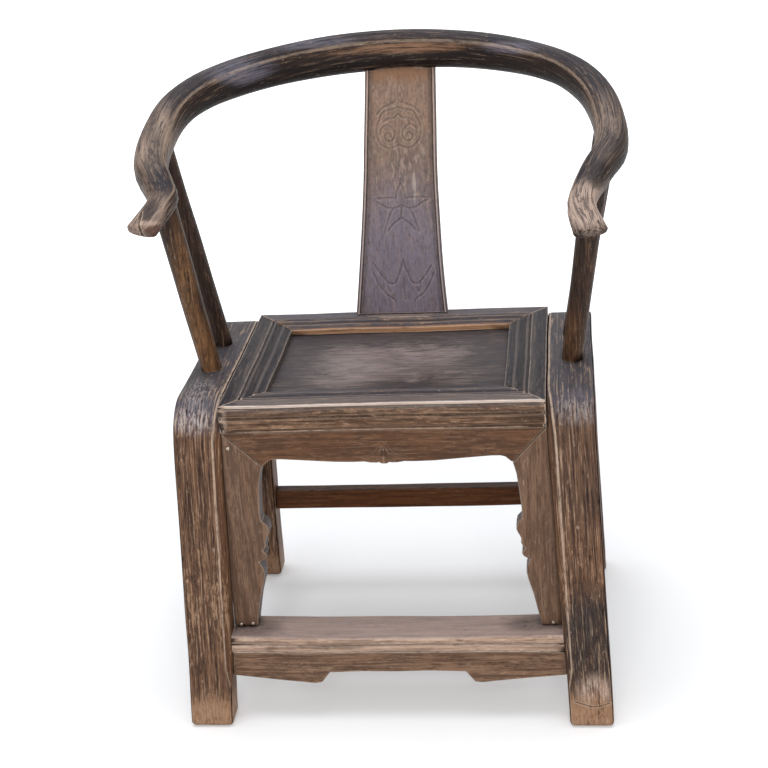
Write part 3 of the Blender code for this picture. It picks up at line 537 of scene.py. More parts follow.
def worn_piece(node_name, slot, wood, grain, offset, radius=0, rounds=2, slices="", rework=None,
               ridge=None, rub=0):
    """A worn copy of a solid, in one of the woods; the offset picks its part of the pattern."""
    shape = copied_shape(node_name)
    if radius:
        soften_edges(shape, radius, rounds, rub)
    for axis in slices:
        slice_shape(shape, "XYZ".index(axis))
    if rework:
        rework(shape)
    store_grain(shape, grain, offset, ridge)
    return finish_piece(shape, node_name, woods[wood])


def straight_piece(node_name, slot, wood, axis, offset, radius=0, **wear):
    """A worn piece whose grain runs along one axis, sliced across it."""
    return worn_piece(node_name, slot, wood, grain_along(axis), offset, radius, slices=axis, **wear)


print("one slice is", SLICE, "m")

# %% [markdown]
# ## The layers of old wood
# The chair is one kind of wood under an old dark finish, and every part has worn in its own way.
# The recipe works in layers, most of them as the years did: the wood's own colour in streaks
# along the grain, the dark finish over it, bare paler wood where hands and feet rubbed it through,
# pale broken edges, dirt in cracks, dirt and painted shade in corners, a grey dust with a painted
# sheen of the sky on what faces up, and painted shade on what faces down. Each layer is a small
# function that gives a value between 0 and 1, made from noise that is drawn out along the grain.

# %% Layers of the worn wood
EDGE_RADIUS = 0.0034
EDGE_LEANS = (0.01, 0.12)
CORNER_REACH = 0.016
CORNER_SHADES = (0.30, 0.80)
RAY_SAMPLES = 6
INWARD_FACING = (-0.85, -0.45)
FOOT_RAGGED = 0.20
FOOT_LOW, FOOT_HIGH = 0.094, 0.106
SPOT_RAGGED = 1.8
SPOT_FADE = (1.35, 2.05)
RIDGE_CORE_SHARE = 0.35


def stretched_noise(tree, grain, along, across, detail, roughness=0.6, distortion=0.0):
    """Noise drawn out along the grain; along and across are repeats for each metre."""
    sockets = {"Vector": vectors(tree, "MULTIPLY", grain, (along, across, across)), "Scale": 1.0,
               "Detail": detail, "Roughness": roughness, "Distortion": distortion}
    return add(tree, "TexNoise", sockets).outputs["Fac"]


def rubbed_edges(tree, reach):
    """1 on corners and 0 on flats, from how far a rounded normal leans away from the real one."""
    rounded = add(tree, "Bevel", {"Radius": reach}, samples=RAY_SAMPLES).outputs[0]
    alike = vectors(tree, "DOT_PRODUCT", rounded, surface(tree, "Normal"))
    return level(tree, maths(tree, "SUBTRACT", 1.0, alike), *EDGE_LEANS)


def corner_shade_and_dirt(tree):
    """1 deep in corners and joints, read from ambient occlusion: painted shade there, and dirt where
    neither sleeve nor duster reaches.
    """
    shade = add(tree, "AmbientOcclusion", {"Distance": CORNER_REACH}, samples=RAY_SAMPLES).outputs["AO"]
    return level(tree, shade, *CORNER_SHADES, 1, 0)


def facing_in(tree):
    """1 on the faces that look sideways at the other half of the chair."""
    side = maths(tree, "SIGN", surface(tree, "Position", "X"))
    return level(tree, times(tree, surface(tree, "Normal", "X"), side), *INWARD_FACING, 1, 0)


def near_floor(tree, height, ragged):
    """1 on the feet, with a ragged upper limit."""
    rise = weighted(tree, (surface(tree, "Position", "Z"), ragged), (1.0, FOOT_RAGGED))
    return level(tree, rise, height + FOOT_LOW, height + FOOT_HIGH, 1, 0)


def soft_spot(tree, ragged, centre, reach):
    """1 at a place on the chair, fading out over a reach along X, Y and Z, with a ragged rim."""
    gap = vectors(tree, "SUBTRACT", surface(tree, "Position"), centre)
    distance = vectors(tree, "LENGTH", vectors(tree, "DIVIDE", gap, reach))
    return level(tree, weighted(tree, (distance, ragged), (1.0, SPOT_RAGGED)), *SPOT_FADE, 1, 0)


def worn_ridge(tree, reach):
    """1 on the stored ridge of a frame or of the rail."""
    distance = vectors(tree, "LENGTH", stored(tree, "ridge"))
    return level(tree, distance, reach * RIDGE_CORE_SHARE, reach, 1, 0)


print("layers ready")

# %% [markdown]
# ## One recipe for all the wood
# The recipe reads a table of values, so that each part of the chair can differ in colour,
# wear and gloss while the build-up stays the same. Four noises do the work: broad patches,
# streaks, fine fibres, and flakes of finish. Mixed in different weights they decide where the
# finish is dark, where it has gone, where fibres stand out pale and where pits are black. Names
# that end in weights say how much of each noise goes in. The other pairs are the two levels
# between which a value turns, with what it turns into where four are given.

# %% Finish, and where it has gone
FINISH_WEIGHTS = (0.45, 0.35, 0.20)
CLOUD_LEVELS = (0.40, 0.62)
BARE_WEIGHTS = (0.35, 0.35, 0.30)
BARE_FADE = 0.05


def wood_colour(tree, look, noises):
    """The finish in streaks and clouds, worn through to paler wood."""
    streaks, fibres, flakes, patches = noises
    mixed = weighted(tree, (streaks, fibres, flakes), FINISH_WEIGHTS)
    colour = blend(tree, level(tree, mixed, *look["streak_levels"]), look["dark"], look["middle"])
    clouds = level(tree, patches, *CLOUD_LEVELS, 0, look["cloud_amount"])
    colour = blend(tree, clouds, colour, look["cloud"])
    colour = blend(tree, times(tree, facing_in(tree), look["inward_amount"]), colour, look["inward"])
    worn = weighted(tree, (streaks, flakes, patches), BARE_WEIGHTS)
    bare = level(tree, worn, look["bare_from"], look["bare_from"] + BARE_FADE, 0, look["bare_amount"])
    return blend(tree, bare, colour, look["bare"]), bare


print("weights of streaks, fibres and flakes:", FINISH_WEIGHTS)

# %% [markdown]
# ## What lies on the finish, and painted sheen and shade
# Dust and smoke settle on what faces up, damp and hands stain single places, and floors scrape
# the feet. A sheen of the sky is painted over the dust on what faces up, shade is painted on what
# faces down, and some spots are painted sheen, shade or light. These layers come after the
# finish, so they cover its dark and its bare parts alike.

# %% What lies on the finish, and painted sheen and shade
TOP_FACING = (0.35, 0.95)
DUST_AND_SHEEN_LEVELS = (0.35, 0.62, 1.0, 0.45)
UNDER_FACING = (0.45, -0.25)
RIM_WEIGHTS = (0.4, 0.6)
SPOT_STREAKS = (0.40, 0.53)
SPOT_GRIT = (0.48, 0.54)
FOOT_WEIGHTS = (0.6, 0.4)
FOOT_FLAKES = (0.4, 0.6)
PIT_WEIGHTS = (0.55, 0.45)
PIT_LEVELS = (0.36, 0.44)


def spots_of_stain_and_light(tree, look, colour, noises):
    """The spots of the look, one after another: stains and wear, and painted sheen, shade and light."""
    streaks, fibres, flakes, patches = noises
    rim = weighted(tree, (patches, flakes), RIM_WEIGHTS)
    for centre, reach, tint, amount, grit in look["spots"]:
        spot = times(tree, soft_spot(tree, rim, Vector(centre) * MM, Vector(reach) * MM), amount)
        spot = times(tree, spot, level(tree, fibres, *SPOT_STREAKS, look["spot_streak"], 1.0))
        spot = times(tree, spot, level(tree, flakes, *SPOT_GRIT, 1 - grit, 1.0))
        colour = blend(tree, spot, colour, tint)
    return colour


def dirt_sheen_and_shade(tree, look, colour, noises):
    """Dust with a painted sky sheen on top faces, painted shade below, spots, feet and pits."""
    streaks, fibres, flakes, patches = noises
    upward = surface(tree, "Normal", "Z")
    # Dust on faces that look up, with a painted sheen of the sky over it.
    dust_and_sheen = times(tree, level(tree, upward, *TOP_FACING), level(tree, flakes, *DUST_AND_SHEEN_LEVELS))
    colour = blend(tree, times(tree, dust_and_sheen, look["dust_and_sheen_amount"]), colour, look["dust_and_sheen"])
    # Painted shade: faces that look down are darkened towards the dark colour.
    underside_shade = times(tree, level(tree, upward, *UNDER_FACING), look["underside_shade_amount"])
    colour = spots_of_stain_and_light(tree, look, blend(tree, underside_shade, colour, look["dark"]), noises)
    if look["foot_amount"]:
        ragged = weighted(tree, (fibres, flakes), FOOT_WEIGHTS)
        foot = times(tree, near_floor(tree, look["foot_height"], ragged), look["foot_amount"])
        scraped = blend(tree, level(tree, flakes, *FOOT_FLAKES), look["foot"], look["bare"])
        colour = blend(tree, foot, colour, scraped)
    pits = level(tree, weighted(tree, (flakes, fibres), PIT_WEIGHTS), *PIT_LEVELS, look["crack_amount"], 0)
    return blend(tree, pits, colour, look["crack_and_shade"]), pits


print("weights of flakes and fibres in a pit:", PIT_WEIGHTS)

# %% [markdown]
# ## Worn places
# The marks of use come last, since they cut through all that lies below: fibres that stand out,
# rubbed ridges and edges, and chips. Dirt that nobody can wipe away stays in corners and grooves,
# and the corners also get a painted shade, read from how closed in they are.

# %% Worn places
FIBRE_LEVELS = (0.55, 0.63)
FIBRE_PATCHES = (0.35, 0.55, 0.2, 1.0)
GROOVE_LEVELS = (0.1, 0.95)
EDGE_BREAKS = (0.36, 0.54, 0.35, 1.0)
RUBBED_LEVELS = (-0.95, -0.15, 0.75, 0)
CHIP_FADE = 0.03


def worn_places(tree, look, colour, noises):
    """Pale fibres, ridges, edges and chips, dark grooves, and corners darkened by dirt and painted shade.
    """
    streaks, fibres, flakes, patches = noises
    carved = stored(tree, "carved", "Fac")
    fibre = times(tree, level(tree, fibres, *FIBRE_LEVELS), level(tree, patches, *FIBRE_PATCHES))
    colour = blend(tree, times(tree, fibre, look["fibre_amount"]), colour, look["pale"])
    # Painted shade and dirt in corners and joints, read from ambient occlusion, in the dark crack colour.
    colour = blend(tree, times(tree, corner_shade_and_dirt(tree), look["corner_shade_and_dirt_amount"]), colour, look["crack_and_shade"])
    grooves = level(tree, carved, *GROOVE_LEVELS, 0, look["groove_amount"])
    colour = blend(tree, grooves, colour, look["crack_and_shade"])
    ridge = times(tree, worn_ridge(tree, look["ridge_reach"]), look["ridge_amount"])
    edges = times(tree, rubbed_edges(tree, look["edge_reach"]), look["edge_amount"])
    edges = times(tree, maths(tree, "MAXIMUM", edges, ridge), level(tree, flakes, *EDGE_BREAKS))
    edges = maths(tree, "MAXIMUM", edges, level(tree, carved, *RUBBED_LEVELS))
    colour = blend(tree, edges, colour, look["edge"])
    chips = level(tree, flakes, look["chip_from"], look["chip_from"] + CHIP_FADE, 0, look["chip_amount"])
    return blend(tree, chips, colour, look["chip"]), edges


print("rubbed edges break up between flakes at", EDGE_BREAKS[:2])

# %% [markdown]
# ## One material for each look
# The layers are laid in order. Bare wood is dull and the finish keeps a faint shine, so the same
# masks also set the roughness. The noises give a fine relief as well, which catches the light.

# %% One worn wood from a table of values
# Detail, roughness and distortion of each noise
NOISES = (
    ("streak", 6, 0.68, 0.3), ("fibre", 5, 0.70, 0.2), ("flake", 5, 0.72, 0.4), ("patch", 5, 0.62, 0.6),
)
DULL_WEIGHTS = (1.0, 0.6)
DULL_LEVELS = (0.0, 0.9)
RELIEF_WEIGHTS = (0.5, 0.4, -0.4)
RELIEF_DEPTH = 0.0012
BUMP_RADIUS = 0.0012
BUMP_SAMPLES = 4


def worn_wood(name, look):
    """A material with all the layers, from a table of values."""
    material, tree, shader = new_material(name)
    grain = stored(tree, "grain")
    noises = [stretched_noise(tree, grain, look[kind + "_along"], look[kind + "_across"], *shaping)
              for kind, *shaping in NOISES]
    colour, bare = wood_colour(tree, look, noises)
    colour, pits = dirt_sheen_and_shade(tree, look, colour, noises)
    colour, edges = worn_places(tree, look, colour, noises)
    dull = weighted(tree, (bare, edges), DULL_WEIGHTS)
    dull = level(tree, dull, *DULL_LEVELS, look["polish"], look["dry"])
    relief = weighted(tree, (*noises[:3], pits), (look["relief"], *RELIEF_WEIGHTS))
    rounded = add(tree, "Bevel", {"Radius": BUMP_RADIUS}, samples=BUMP_SAMPLES).outputs[0]
    bump = add(tree, "Bump", {"Height": relief, "Strength": look["bump"], "Distance": RELIEF_DEPTH,
                              "Normal": rounded})
    tree.links.new(colour, shader.inputs["Base Color"])
    tree.links.new(dull, shader.inputs["Roughness"])
    tree.links.new(bump.outputs[0], shader.inputs["Normal"])
    shader.inputs["Specular IOR Level"].default_value = look["gloss"]
    return material


print("recipe ready")

# %% [markdown]
# ## The woods of this chair
# The first table is the usual wear. The second says how each group of pieces differs: the
# frames show dark streaks over tan, the rail and posts are nearly black, the seat is a blue grey
# on top from dust and a painted sheen of the sky, the aprons stayed a warm brown, and the footrest
# is rubbed pale. A spot is a place on the chair that wore or stained in its own way, or where a
# sheen, a shade or a light is painted: where it is and how far it reaches, in millimetres, then
# its colour, how strong it is, and how much it breaks up into grit.

# %% Usual wear
WORN = dict(
    dark=(0.042, 0.022, 0.015), middle=(0.172, 0.09, 0.051), pale=(0.48, 0.33, 0.22),
    cloud=(0.085, 0.046, 0.029), bare=(0.34, 0.205, 0.125), edge=(0.5, 0.37, 0.28),
    crack_and_shade=(0.01, 0.006, 0.005), chip=(0.55, 0.46, 0.4), dust_and_sheen=(0.05, 0.042, 0.044),
    foot=(0.27, 0.147, 0.084), inward=(0.13, 0.06, 0.028), streak_along=7, streak_across=150,
    streak_levels=(0.44, 0.55), fibre_along=17, fibre_across=400, flake_along=75, flake_across=240,
    patch_along=7, patch_across=19, cloud_amount=0.35, bare_from=0.53, bare_amount=0.7, fibre_amount=0.2,
    inward_amount=0.0, dust_and_sheen_amount=0.8, underside_shade_amount=0.0, spots=(), spot_streak=0.6, foot_amount=0,
    foot_height=0.045, crack_amount=0.8, corner_shade_and_dirt_amount=0.7, groove_amount=0.8, edge_amount=0.9,
    edge_reach=EDGE_RADIUS, ridge_reach=0.0024, ridge_amount=0.75, chip_from=0.64, chip_amount=0.35,
    polish=0.45, dry=0.85, relief=0.6, bump=0.9, gloss=0.12,
)
print("values in the table:", len(WORN))

# %% How each group of pieces differs
BLUE_SHEEN = (0.17, 0.16, 0.20)
TAN = (0.36, 0.26, 0.20)
PALE_TAN = (0.50, 0.36, 0.29)
ORANGE = (0.36, 0.17, 0.065)
SOOT = (0.028, 0.021, 0.020)
WHITE_FLAKE = (0.56, 0.52, 0.50)
# Corners of the seat's pieces in millimetres, as the spots are
SEAT_LOW, SEAT_HIGH = (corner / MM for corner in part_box("seat_front_rail"))
RECESS_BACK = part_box("seat_rear_rail")[0].y / MM
PANEL_LOW, PANEL_HIGH = (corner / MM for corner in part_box("seat_panel"))
PANEL_EDGE = (0.034, 0.029, 0.032)
# Grey blue of the tops: dust, with a painted sheen of the sky.
TOP_BLUE_DUST_AND_SHEEN = (0.052, 0.049, 0.058)
WOODS = {
    "bentwood": dict(
        dust_and_sheen=(0.046, 0.044, 0.052), streak_across=200, streak_levels=(0.42, 0.57), fibre_amount=0.6,
        inward_amount=0.7, dust_and_sheen_amount=1.0, spot_streak=0.3, foot_amount=0.95, corner_shade_and_dirt_amount=0.25,
        edge_amount=0.8,
        spots=(
            # Tops of the frames: dust with a painted sheen of the sky.
            ((-265, 0, 487), (70, 360, 16), TOP_BLUE_DUST_AND_SHEEN, 0.9, 0.2),
            ((265, 0, 487), (70, 360, 16), TOP_BLUE_DUST_AND_SHEEN, 0.9, 0.2),
            ((-258, -200, 470), (55, 45, 30), BLUE_SHEEN, 0.36, 0.2),
            ((262, -200, 472), (50, 40, 28), BLUE_SHEEN, 0.22, 0.2),
            ((-265, -205, 464), (45, 30, 22), WHITE_FLAKE, 0.45, 1.0),
            ((-262, -160, 487), (30, 60, 10), WHITE_FLAKE, 0.3, 1.0),
            ((266, -207, 466), (40, 28, 20), WHITE_FLAKE, 0.35, 1.0),
            ((262, -225, 400), (60, 50, 120), (0.06, 0.038, 0.03), 0.5, 0.3),
            ((-290, 235, 180), (60, 60, 300), (0.12, 0.048, 0.018), 0.6, 0.2),
            ((290, 235, 180), (60, 60, 300), (0.12, 0.042, 0.012), 0.85, 0.2),
            ((272, -250, 145), (60, 70, 80), SOOT, 1.0, 0.0),
            ((270, -258, 95), (50, 70, 45), SOOT, 0.85, 0.2),
            ((280, -262, 58), (30, 45, 32), PALE_TAN, 0.9, 0.5),
        ),
    ),
    "rail_wood": dict(
        dark=(0.009, 0.006, 0.006), middle=(0.046, 0.025, 0.017), cloud=(0.018, 0.012, 0.01),
        bare=(0.17, 0.1, 0.065), dust_and_sheen=(0.016, 0.016, 0.023), bare_from=0.57, bare_amount=0.2,
        dust_and_sheen_amount=0.9, underside_shade_amount=0.8, spot_streak=0.25, edge_amount=0.5, ridge_reach=0.0032,
        ridge_amount=0.3, chip_amount=0.25,
        spots=(
            ((-316, -148, 745), (50, 65, 40), (0.3, 0.21, 0.165), 0.95, 0.0),
            ((-318, -10, 815), (36, 125, 55), TAN, 0.8, 0.3),
            ((-325, 6, 834), (18, 62, 30), SOOT, 1.0, 0.7),
            ((-310, -54, 806), (14, 62, 30), SOOT, 1.0, 0.7),
            ((288, -155, 735), (50, 62, 40), (0.42, 0.31, 0.25), 0.95, 0.0),
            ((312, -30, 808), (32, 105, 50), TAN, 0.42, 0.4),
            ((318, -80, 792), (20, 50, 28), SOOT, 0.9, 0.6),
            ((299, -121, 767), (18, 24, 22), SOOT, 1.0, 0.0),
            ((276, -155, 742), (14, 30, 24), SOOT, 0.9, 0.8),
            ((-299, -150, 752), (17, 34, 22), SOOT, 1.0, 0.0),
            ((-291, -172, 729), (17, 12, 13), (0.085, 0.038, 0.026), 0.95, 0.0),
            ((-307, -168, 738.5), (36, 8, 4.2), PALE_TAN, 0.6, 0.3),
            ((-215, 140, 870), (70, 50, 20), BLUE_SHEEN, 0.66, 0.2),
            ((-100, 205, 894), (110, 30, 8), BLUE_SHEEN, 0.4, 0.2),
            ((170, 168, 880), (80, 35, 10), BLUE_SHEEN, 0.55, 0.2),
            ((30, 222, 878), (150, 30, 9), (0.27, 0.145, 0.085), 0.7, 0.0),
        ),
    ),
    "post_wood": dict(
        dark=(0.016, 0.01, 0.008), middle=(0.054, 0.028, 0.018), cloud=(0.022, 0.015, 0.012),
        bare=(0.18, 0.095, 0.045), streak_levels=(0.4, 0.58), bare_amount=0.3, dust_and_sheen_amount=0.2,
        corner_shade_and_dirt_amount=0.2, edge_amount=0.4, chip_amount=0.15,
        spots=(
            ((-274, -100, 620), (20, 24, 130), ORANGE, 0.32, 0.5),
            ((-262, -93, 520), (30, 30, 70), ORANGE, 0.4, 0.4),
            ((258, -94, 520), (24, 30, 50), ORANGE, 0.15, 0.4),
        ),
    ),
    "seat_wood": dict(
        dark=(0.048, 0.025, 0.014), middle=(0.195, 0.108, 0.062), dust_and_sheen=(0.056, 0.053, 0.063),
        streak_levels=(0.41, 0.59), fibre_amount=0.25, dust_and_sheen_amount=1.0, crack_amount=0.5,
        corner_shade_and_dirt_amount=0.0, edge_amount=1.0,
        spots=(
            # Grey blue tops of the front and rear rails: dust with a painted sheen of the sky.
            ((0, SEAT_LOW.y + 30, SEAT_HIGH.z), (600, 62, 14), (0.034, 0.032, 0.04), 0.95, 0.1),
            ((0, 170, SEAT_HIGH.z), (600, 80, 12), (0.078, 0.076, 0.094), 0.9, 0.2),
            ((0, SEAT_LOW.y, SEAT_HIGH.z), (500, 6.2, 5.8), (0.78, 0.66, 0.59), 1.0, 0.1),
            # Painted light that lifts the shade where the front rail's mouldings end beside the left leg.
            ((-222.5, SEAT_LOW.y, 467), (10, 12, 60), TAN, 0.9, 0.0),
            ((0, RECESS_BACK, SEAT_HIGH.z - 6), (230, 5, 10), (0.36, 0.17, 0.075), 0.9, 0.0),
        ),
    ),
    "stile_wood": dict(
        dark=(0.013, 0.01, 0.012), middle=(0.04, 0.03, 0.029), bare=(0.17, 0.13, 0.11),
        edge=(0.42, 0.34, 0.29), dust_and_sheen=(0.014, 0.014, 0.02), cloud_amount=0.2, bare_amount=0.3,
        fibre_amount=0.15, dust_and_sheen_amount=0.9, corner_shade_and_dirt_amount=0.4, chip_amount=0.12,
    ),
    "panel_wood": dict(
        dark=(0.026, 0.02, 0.019), middle=(0.068, 0.05, 0.046), cloud=(0.128, 0.098, 0.092),
        bare=(0.24, 0.19, 0.18), flake_along=40, flake_across=190, patch_along=9, patch_across=14,
        cloud_amount=0.65, bare_amount=0.4, dust_and_sheen_amount=0.0, crack_amount=0.5, chip_amount=0.1,
        spots=(
            ((10, 0, 475), (170, 90, 20), (0.26, 0.205, 0.2), 0.55, 0.5),
            ((-70, -70, 475), (90, 60, 20), (0.26, 0.205, 0.2), 0.5, 0.5),
            # The panel is darker along its four edges, next to the frame round it.
            ((PANEL_LOW.x, 0, 475), (85, 300, 20), PANEL_EDGE, 0.85, 0.0),
            ((PANEL_HIGH.x, 0, 475), (85, 300, 20), PANEL_EDGE, 0.85, 0.0),
            ((0, PANEL_HIGH.y, 475), (420, 75, 20), PANEL_EDGE, 0.8, 0.0),
            ((0, PANEL_LOW.y, 475), (420, 50, 20), PANEL_EDGE, 0.6, 0.0),
        ),
    ),
    "apron_wood": dict(
        dark=(0.078, 0.037, 0.019), middle=(0.138, 0.065, 0.034), cloud=(0.066, 0.034, 0.02),
        bare=(0.23, 0.125, 0.07), patch_along=12, patch_across=28, cloud_amount=0.7, bare_amount=0.4,
        fibre_amount=0.12, crack_amount=0.3, chip_amount=0.08,
    ),
    "spandrel_wood": dict(
        dark=(0.105, 0.058, 0.036), middle=(0.175, 0.101, 0.064), cloud=(0.11, 0.066, 0.046),
        bare=(0.26, 0.16, 0.105), inward=(0.115, 0.1, 0.096), streak_along=16, streak_across=120,
        patch_along=9, patch_across=30, cloud_amount=0.6, bare_amount=0.4, fibre_amount=0.15,
        inward_amount=0.9, crack_amount=0.3, edge_amount=1.0, edge_reach=0.0032, chip_amount=0.25,
    ),
    "foot_apron_wood": dict(
        dark=(0.11, 0.06, 0.036), middle=(0.215, 0.125, 0.078), cloud=(0.095, 0.055, 0.036),
        bare=(0.32, 0.2, 0.13), patch_along=14, patch_across=34, cloud_amount=0.7, bare_amount=0.5,
        crack_amount=0.7, chip_amount=0.1,
    ),
    "footrest_wood": dict(
        dark=(0.2, 0.13, 0.09), middle=(0.44, 0.295, 0.215), cloud=(0.31, 0.215, 0.165),
        bare=(0.56, 0.41, 0.32), edge=(0.66, 0.52, 0.43), dust_and_sheen=(0.44, 0.345, 0.325), fibre_amount=0.3,
        dust_and_sheen_amount=0.85, crack_amount=0.5, groove_amount=0.7, edge_amount=0.8,
        spots=(
            ((-210, -215, 138), (50, 32, 30), SOOT, 0.7, 0.3),
            ((198, -210, 138), (50, 26, 30), SOOT, 0.75, 0.3),
        ),
    ),
    "stretcher_wood": dict(
        dark=(0.06, 0.019, 0.006), middle=(0.105, 0.037, 0.012), cloud=(0.11, 0.042, 0.015),
        dust_and_sheen=(0.02, 0.015, 0.013), bare_amount=0.1, fibre_amount=0.05, dust_and_sheen_amount=0.95,
        crack_amount=0.3, edge_amount=0.2, chip_amount=0.02,
    ),
    "splat_wood": dict(
        dark=(0.132, 0.088, 0.068), middle=(0.216, 0.14, 0.104), cloud=(0.118, 0.083, 0.07),
        bare=(0.36, 0.265, 0.22), edge=(0.46, 0.37, 0.34), crack_and_shade=(0.022, 0.013, 0.01), patch_along=15,
        patch_across=42, cloud_amount=0.75, bare_amount=0.55, fibre_amount=0.12, crack_amount=0.35,
        groove_amount=0.85, edge_amount=0.4, chip_amount=0.1, polish=0.4, gloss=0.25,
        spots=(
            # Painted reflection: a blue sheen of the sky on the lower part of the splat.
            ((5, 140, 545), (110, 150, 170), (0.134, 0.127, 0.198), 0.74, 0.3),
            ((10, 200, 800), (110, 150, 90), (0.268, 0.154, 0.094), 0.48, 0.3),
            # Painted shadow of the rail along the top of the splat, in a warm brown.
            ((10, 230, 848), (110, 150, 26), (0.23, 0.105, 0.045), 0.75, 0.0),
            ((27, 172, 678), (3, 50, 30), (0.44, 0.36, 0.31), 0.7, 0.3),
        ),
    ),
}
woods = {name: worn_wood(name, WORN | changes) for name, changes in WOODS.items()}
print("woods:", list(woods))

# %% [markdown]
# ## How carving and cracks are cut
# A carved line is a groove with soft shoulders. A line is given by a few places, and a smooth
# curve joins them. For every point of the surface, the distance to the nearest line says how
# deep the groove is there. The depth is kept in an attribute called carved, which the wood
# reads to darken the groove and to brighten its shoulders, where a duster rubs. A crack in old
# timber is the same thing with a different reason, so it is cut with the same tool.

# %% Depth of a carved line
LINE_STEPS = 6
SHOULDER_SHARE = 1.9
GRID_SHARE = 0.85
FORWARD = -0.4


def in_metres(lines):
    """Lines given in millimetres, in metres."""
    return [[(x * MM, z * MM) for x, z in line] for line in lines]


def both_sides(half_lines):
    """The lines, given in millimetres, and their mirror images about the ornament's middle."""
    return in_metres(half_lines) + [[(-x, z) for x, z in line] for line in in_metres(half_lines)]


def carved_amount(places, lines, half_width):
    """1 in the bottom of a groove, -1 on its shoulders and 0 away from it, for an array of places."""
    nearest = np.full(len(places), 1.0)
    for line in lines:
        curve = smooth_curve([Vector((x, z, 0)) for x, z in line], LINE_STEPS)
        for a, b in zip(curve, curve[1:]):
            start, run = np.array((a.x, a.y)), np.array((b.x - a.x, b.y - a.y))
            share = np.clip(((places - start) @ run) / max(run @ run, WELD ** 2), 0, 1)
            gap = places - start - share[:, None] * run
            nearest = np.minimum(nearest, np.hypot(gap[:, 0], gap[:, 1]))
    groove = np.clip(1 - (nearest / half_width) ** 2, 0, 1)
    shoulder = np.clip(1 - np.abs(nearest / half_width - SHOULDER_SHARE) / (SHOULDER_SHARE - 1), 0, 1)
    return groove - np.where(groove > 0, 0, shoulder)


def carve_front(shape, lines, low, high, half_width, depth, dirt):
    """Cuts a fine grid between two corners in X and Z, and carves lines into what faces forward."""
    pitch = half_width * GRID_SHARE
    for axis, start, end in ((0, low[0], high[0]), (2, low[1], high[1])):
        count = int((end - start) / pitch)
        cut_across(shape, axis, [start + pitch * step for step in range(count + 1)])
    shape.normal_update()
    layer = carved_layer(shape)
    front = [vertex for vertex in shape.verts if vertex.normal.y < FORWARD
             and low[0] < vertex.co.x < high[0] and low[1] < vertex.co.z < high[1]]
    places = np.array([(vertex.co.x, vertex.co.z) for vertex in front])
    for vertex, amount in zip(front, carved_amount(places, lines, half_width)):
        vertex.co.y += depth * max(float(amount), 0)
        vertex[layer] = float(amount) * dirt


print("steps along each part of a line:", LINE_STEPS)

# %% [markdown]
# ## Side frames
# Each side frame is one timber, bent over steam into front leg, seat rail and rear leg. The
# feet have rounded off where they scraped over floors. After the copy is made, rings of points
# are cut close to the soles and drawn in towards the middle of each foot, along a quarter circle.
# The right front foot has a curved crack just over the worn zone.

# %% Side frames
SOLE_ROUND = 0.009
SOLE_RINGS = 5
FOOT_HALF_WIDTH = 0.031
FOOT_HALF_DEPTH = 0.022
FRAME_ROUND = 0.0028
FRAME_ROUNDS = 3
FOOT_CRACK = dict(
    lines=in_metres([((251.5, 42), (261, 38.5), (274, 34.5), (286.5, 35), (300, 39.5))]),
    low=(0.246, 0.026), high=(0.306, 0.050), half_width=0.0011, depth=0.0012, dirt=0.9,
)


def rounded_soles(shape):
    """Draws the lowest rings of both feet in, so that each sole has a rounded rim."""
    cut_across(shape, 2, [SOLE_ROUND * ring / SOLE_RINGS for ring in range(1, SOLE_RINGS + 1)])
    soles = [vertex.co.copy() for vertex in shape.verts if vertex.co.z < WELD]
    for side in (-1, 1):
        foot = [place for place in soles if (place.y - CHAIR_MIDDLE_Y) * side > 0]
        middle = sum(foot, Vector()) / len(foot)
        for vertex in shape.verts:
            if vertex.co.z > SOLE_ROUND or (vertex.co.y - CHAIR_MIDDLE_Y) * side < 0:
                continue
            drop = 1 - vertex.co.z / SOLE_ROUND
            pull = SOLE_ROUND * (1 - math.sqrt(1 - drop ** 2))
            vertex.co.x = middle.x + (vertex.co.x - middle.x) * (1 - pull / FOOT_HALF_WIDTH)
            vertex.co.y = middle.y + (vertex.co.y - middle.y) * (1 - pull / FOOT_HALF_DEPTH)


def cracked_foot(shape):
    """Rounds the soles and opens the curved crack in the right front foot."""
    rounded_soles(shape)
    carve_front(shape, **FOOT_CRACK)


for offset, (side, rework) in enumerate((("left", rounded_soles), ("right", cracked_foot))):
    worn_piece(side + "_bent_frame", "bentwood", "bentwood", frame_grain, offset, FRAME_ROUND,
               FRAME_ROUNDS, "YZ", rework, frame_ridge)
print("side frames: 2")

# %% [markdown]
# ## Horseshoe rail and posts
# The rail and its four posts are round in section, so they have no edges to wear. Their worn
# copies keep the smooth shape, and only the blunt ends of the hands are rounded. The left hand
# has split a little at its end.

# %% Horseshoe rail and posts
HAND_ROUND = 0.0016
HAND_CRACK = dict(
    lines=in_metres([((-312.5, 748), (-312, 737), (-309.5, 730), (-308.5, 718))]),
    low=(-0.320, 0.708), high=(-0.303, 0.750), half_width=0.0016, depth=0.0045, dirt=1.0,
)


def cracked_hand(shape):
    """Opens the split in the end of the left hand."""
    carve_front(shape, **HAND_CRACK)


worn_piece("horseshoe_rail", "rail_wood", "rail_wood", rail_grain, 2, HAND_ROUND, rework=cracked_hand,
           ridge=rail_ridge)
for offset, side in enumerate(("left", "right"), 3):
    for place in ("front", "rear"):
        straight_piece(f"{side}_{place}_post", "rail_wood", "post_wood", "Z", offset)
print("rail and posts: 5")

# %% [markdown]
# ## Seat
# The seat is a mitred frame round a sunken panel. The moulding's small steps are in the solids
# already. Dirt has gathered in its hollows and its ridges are rubbed pale, which is worked out
# from the mesh: a point that lies lower than its neighbours is in a hollow.

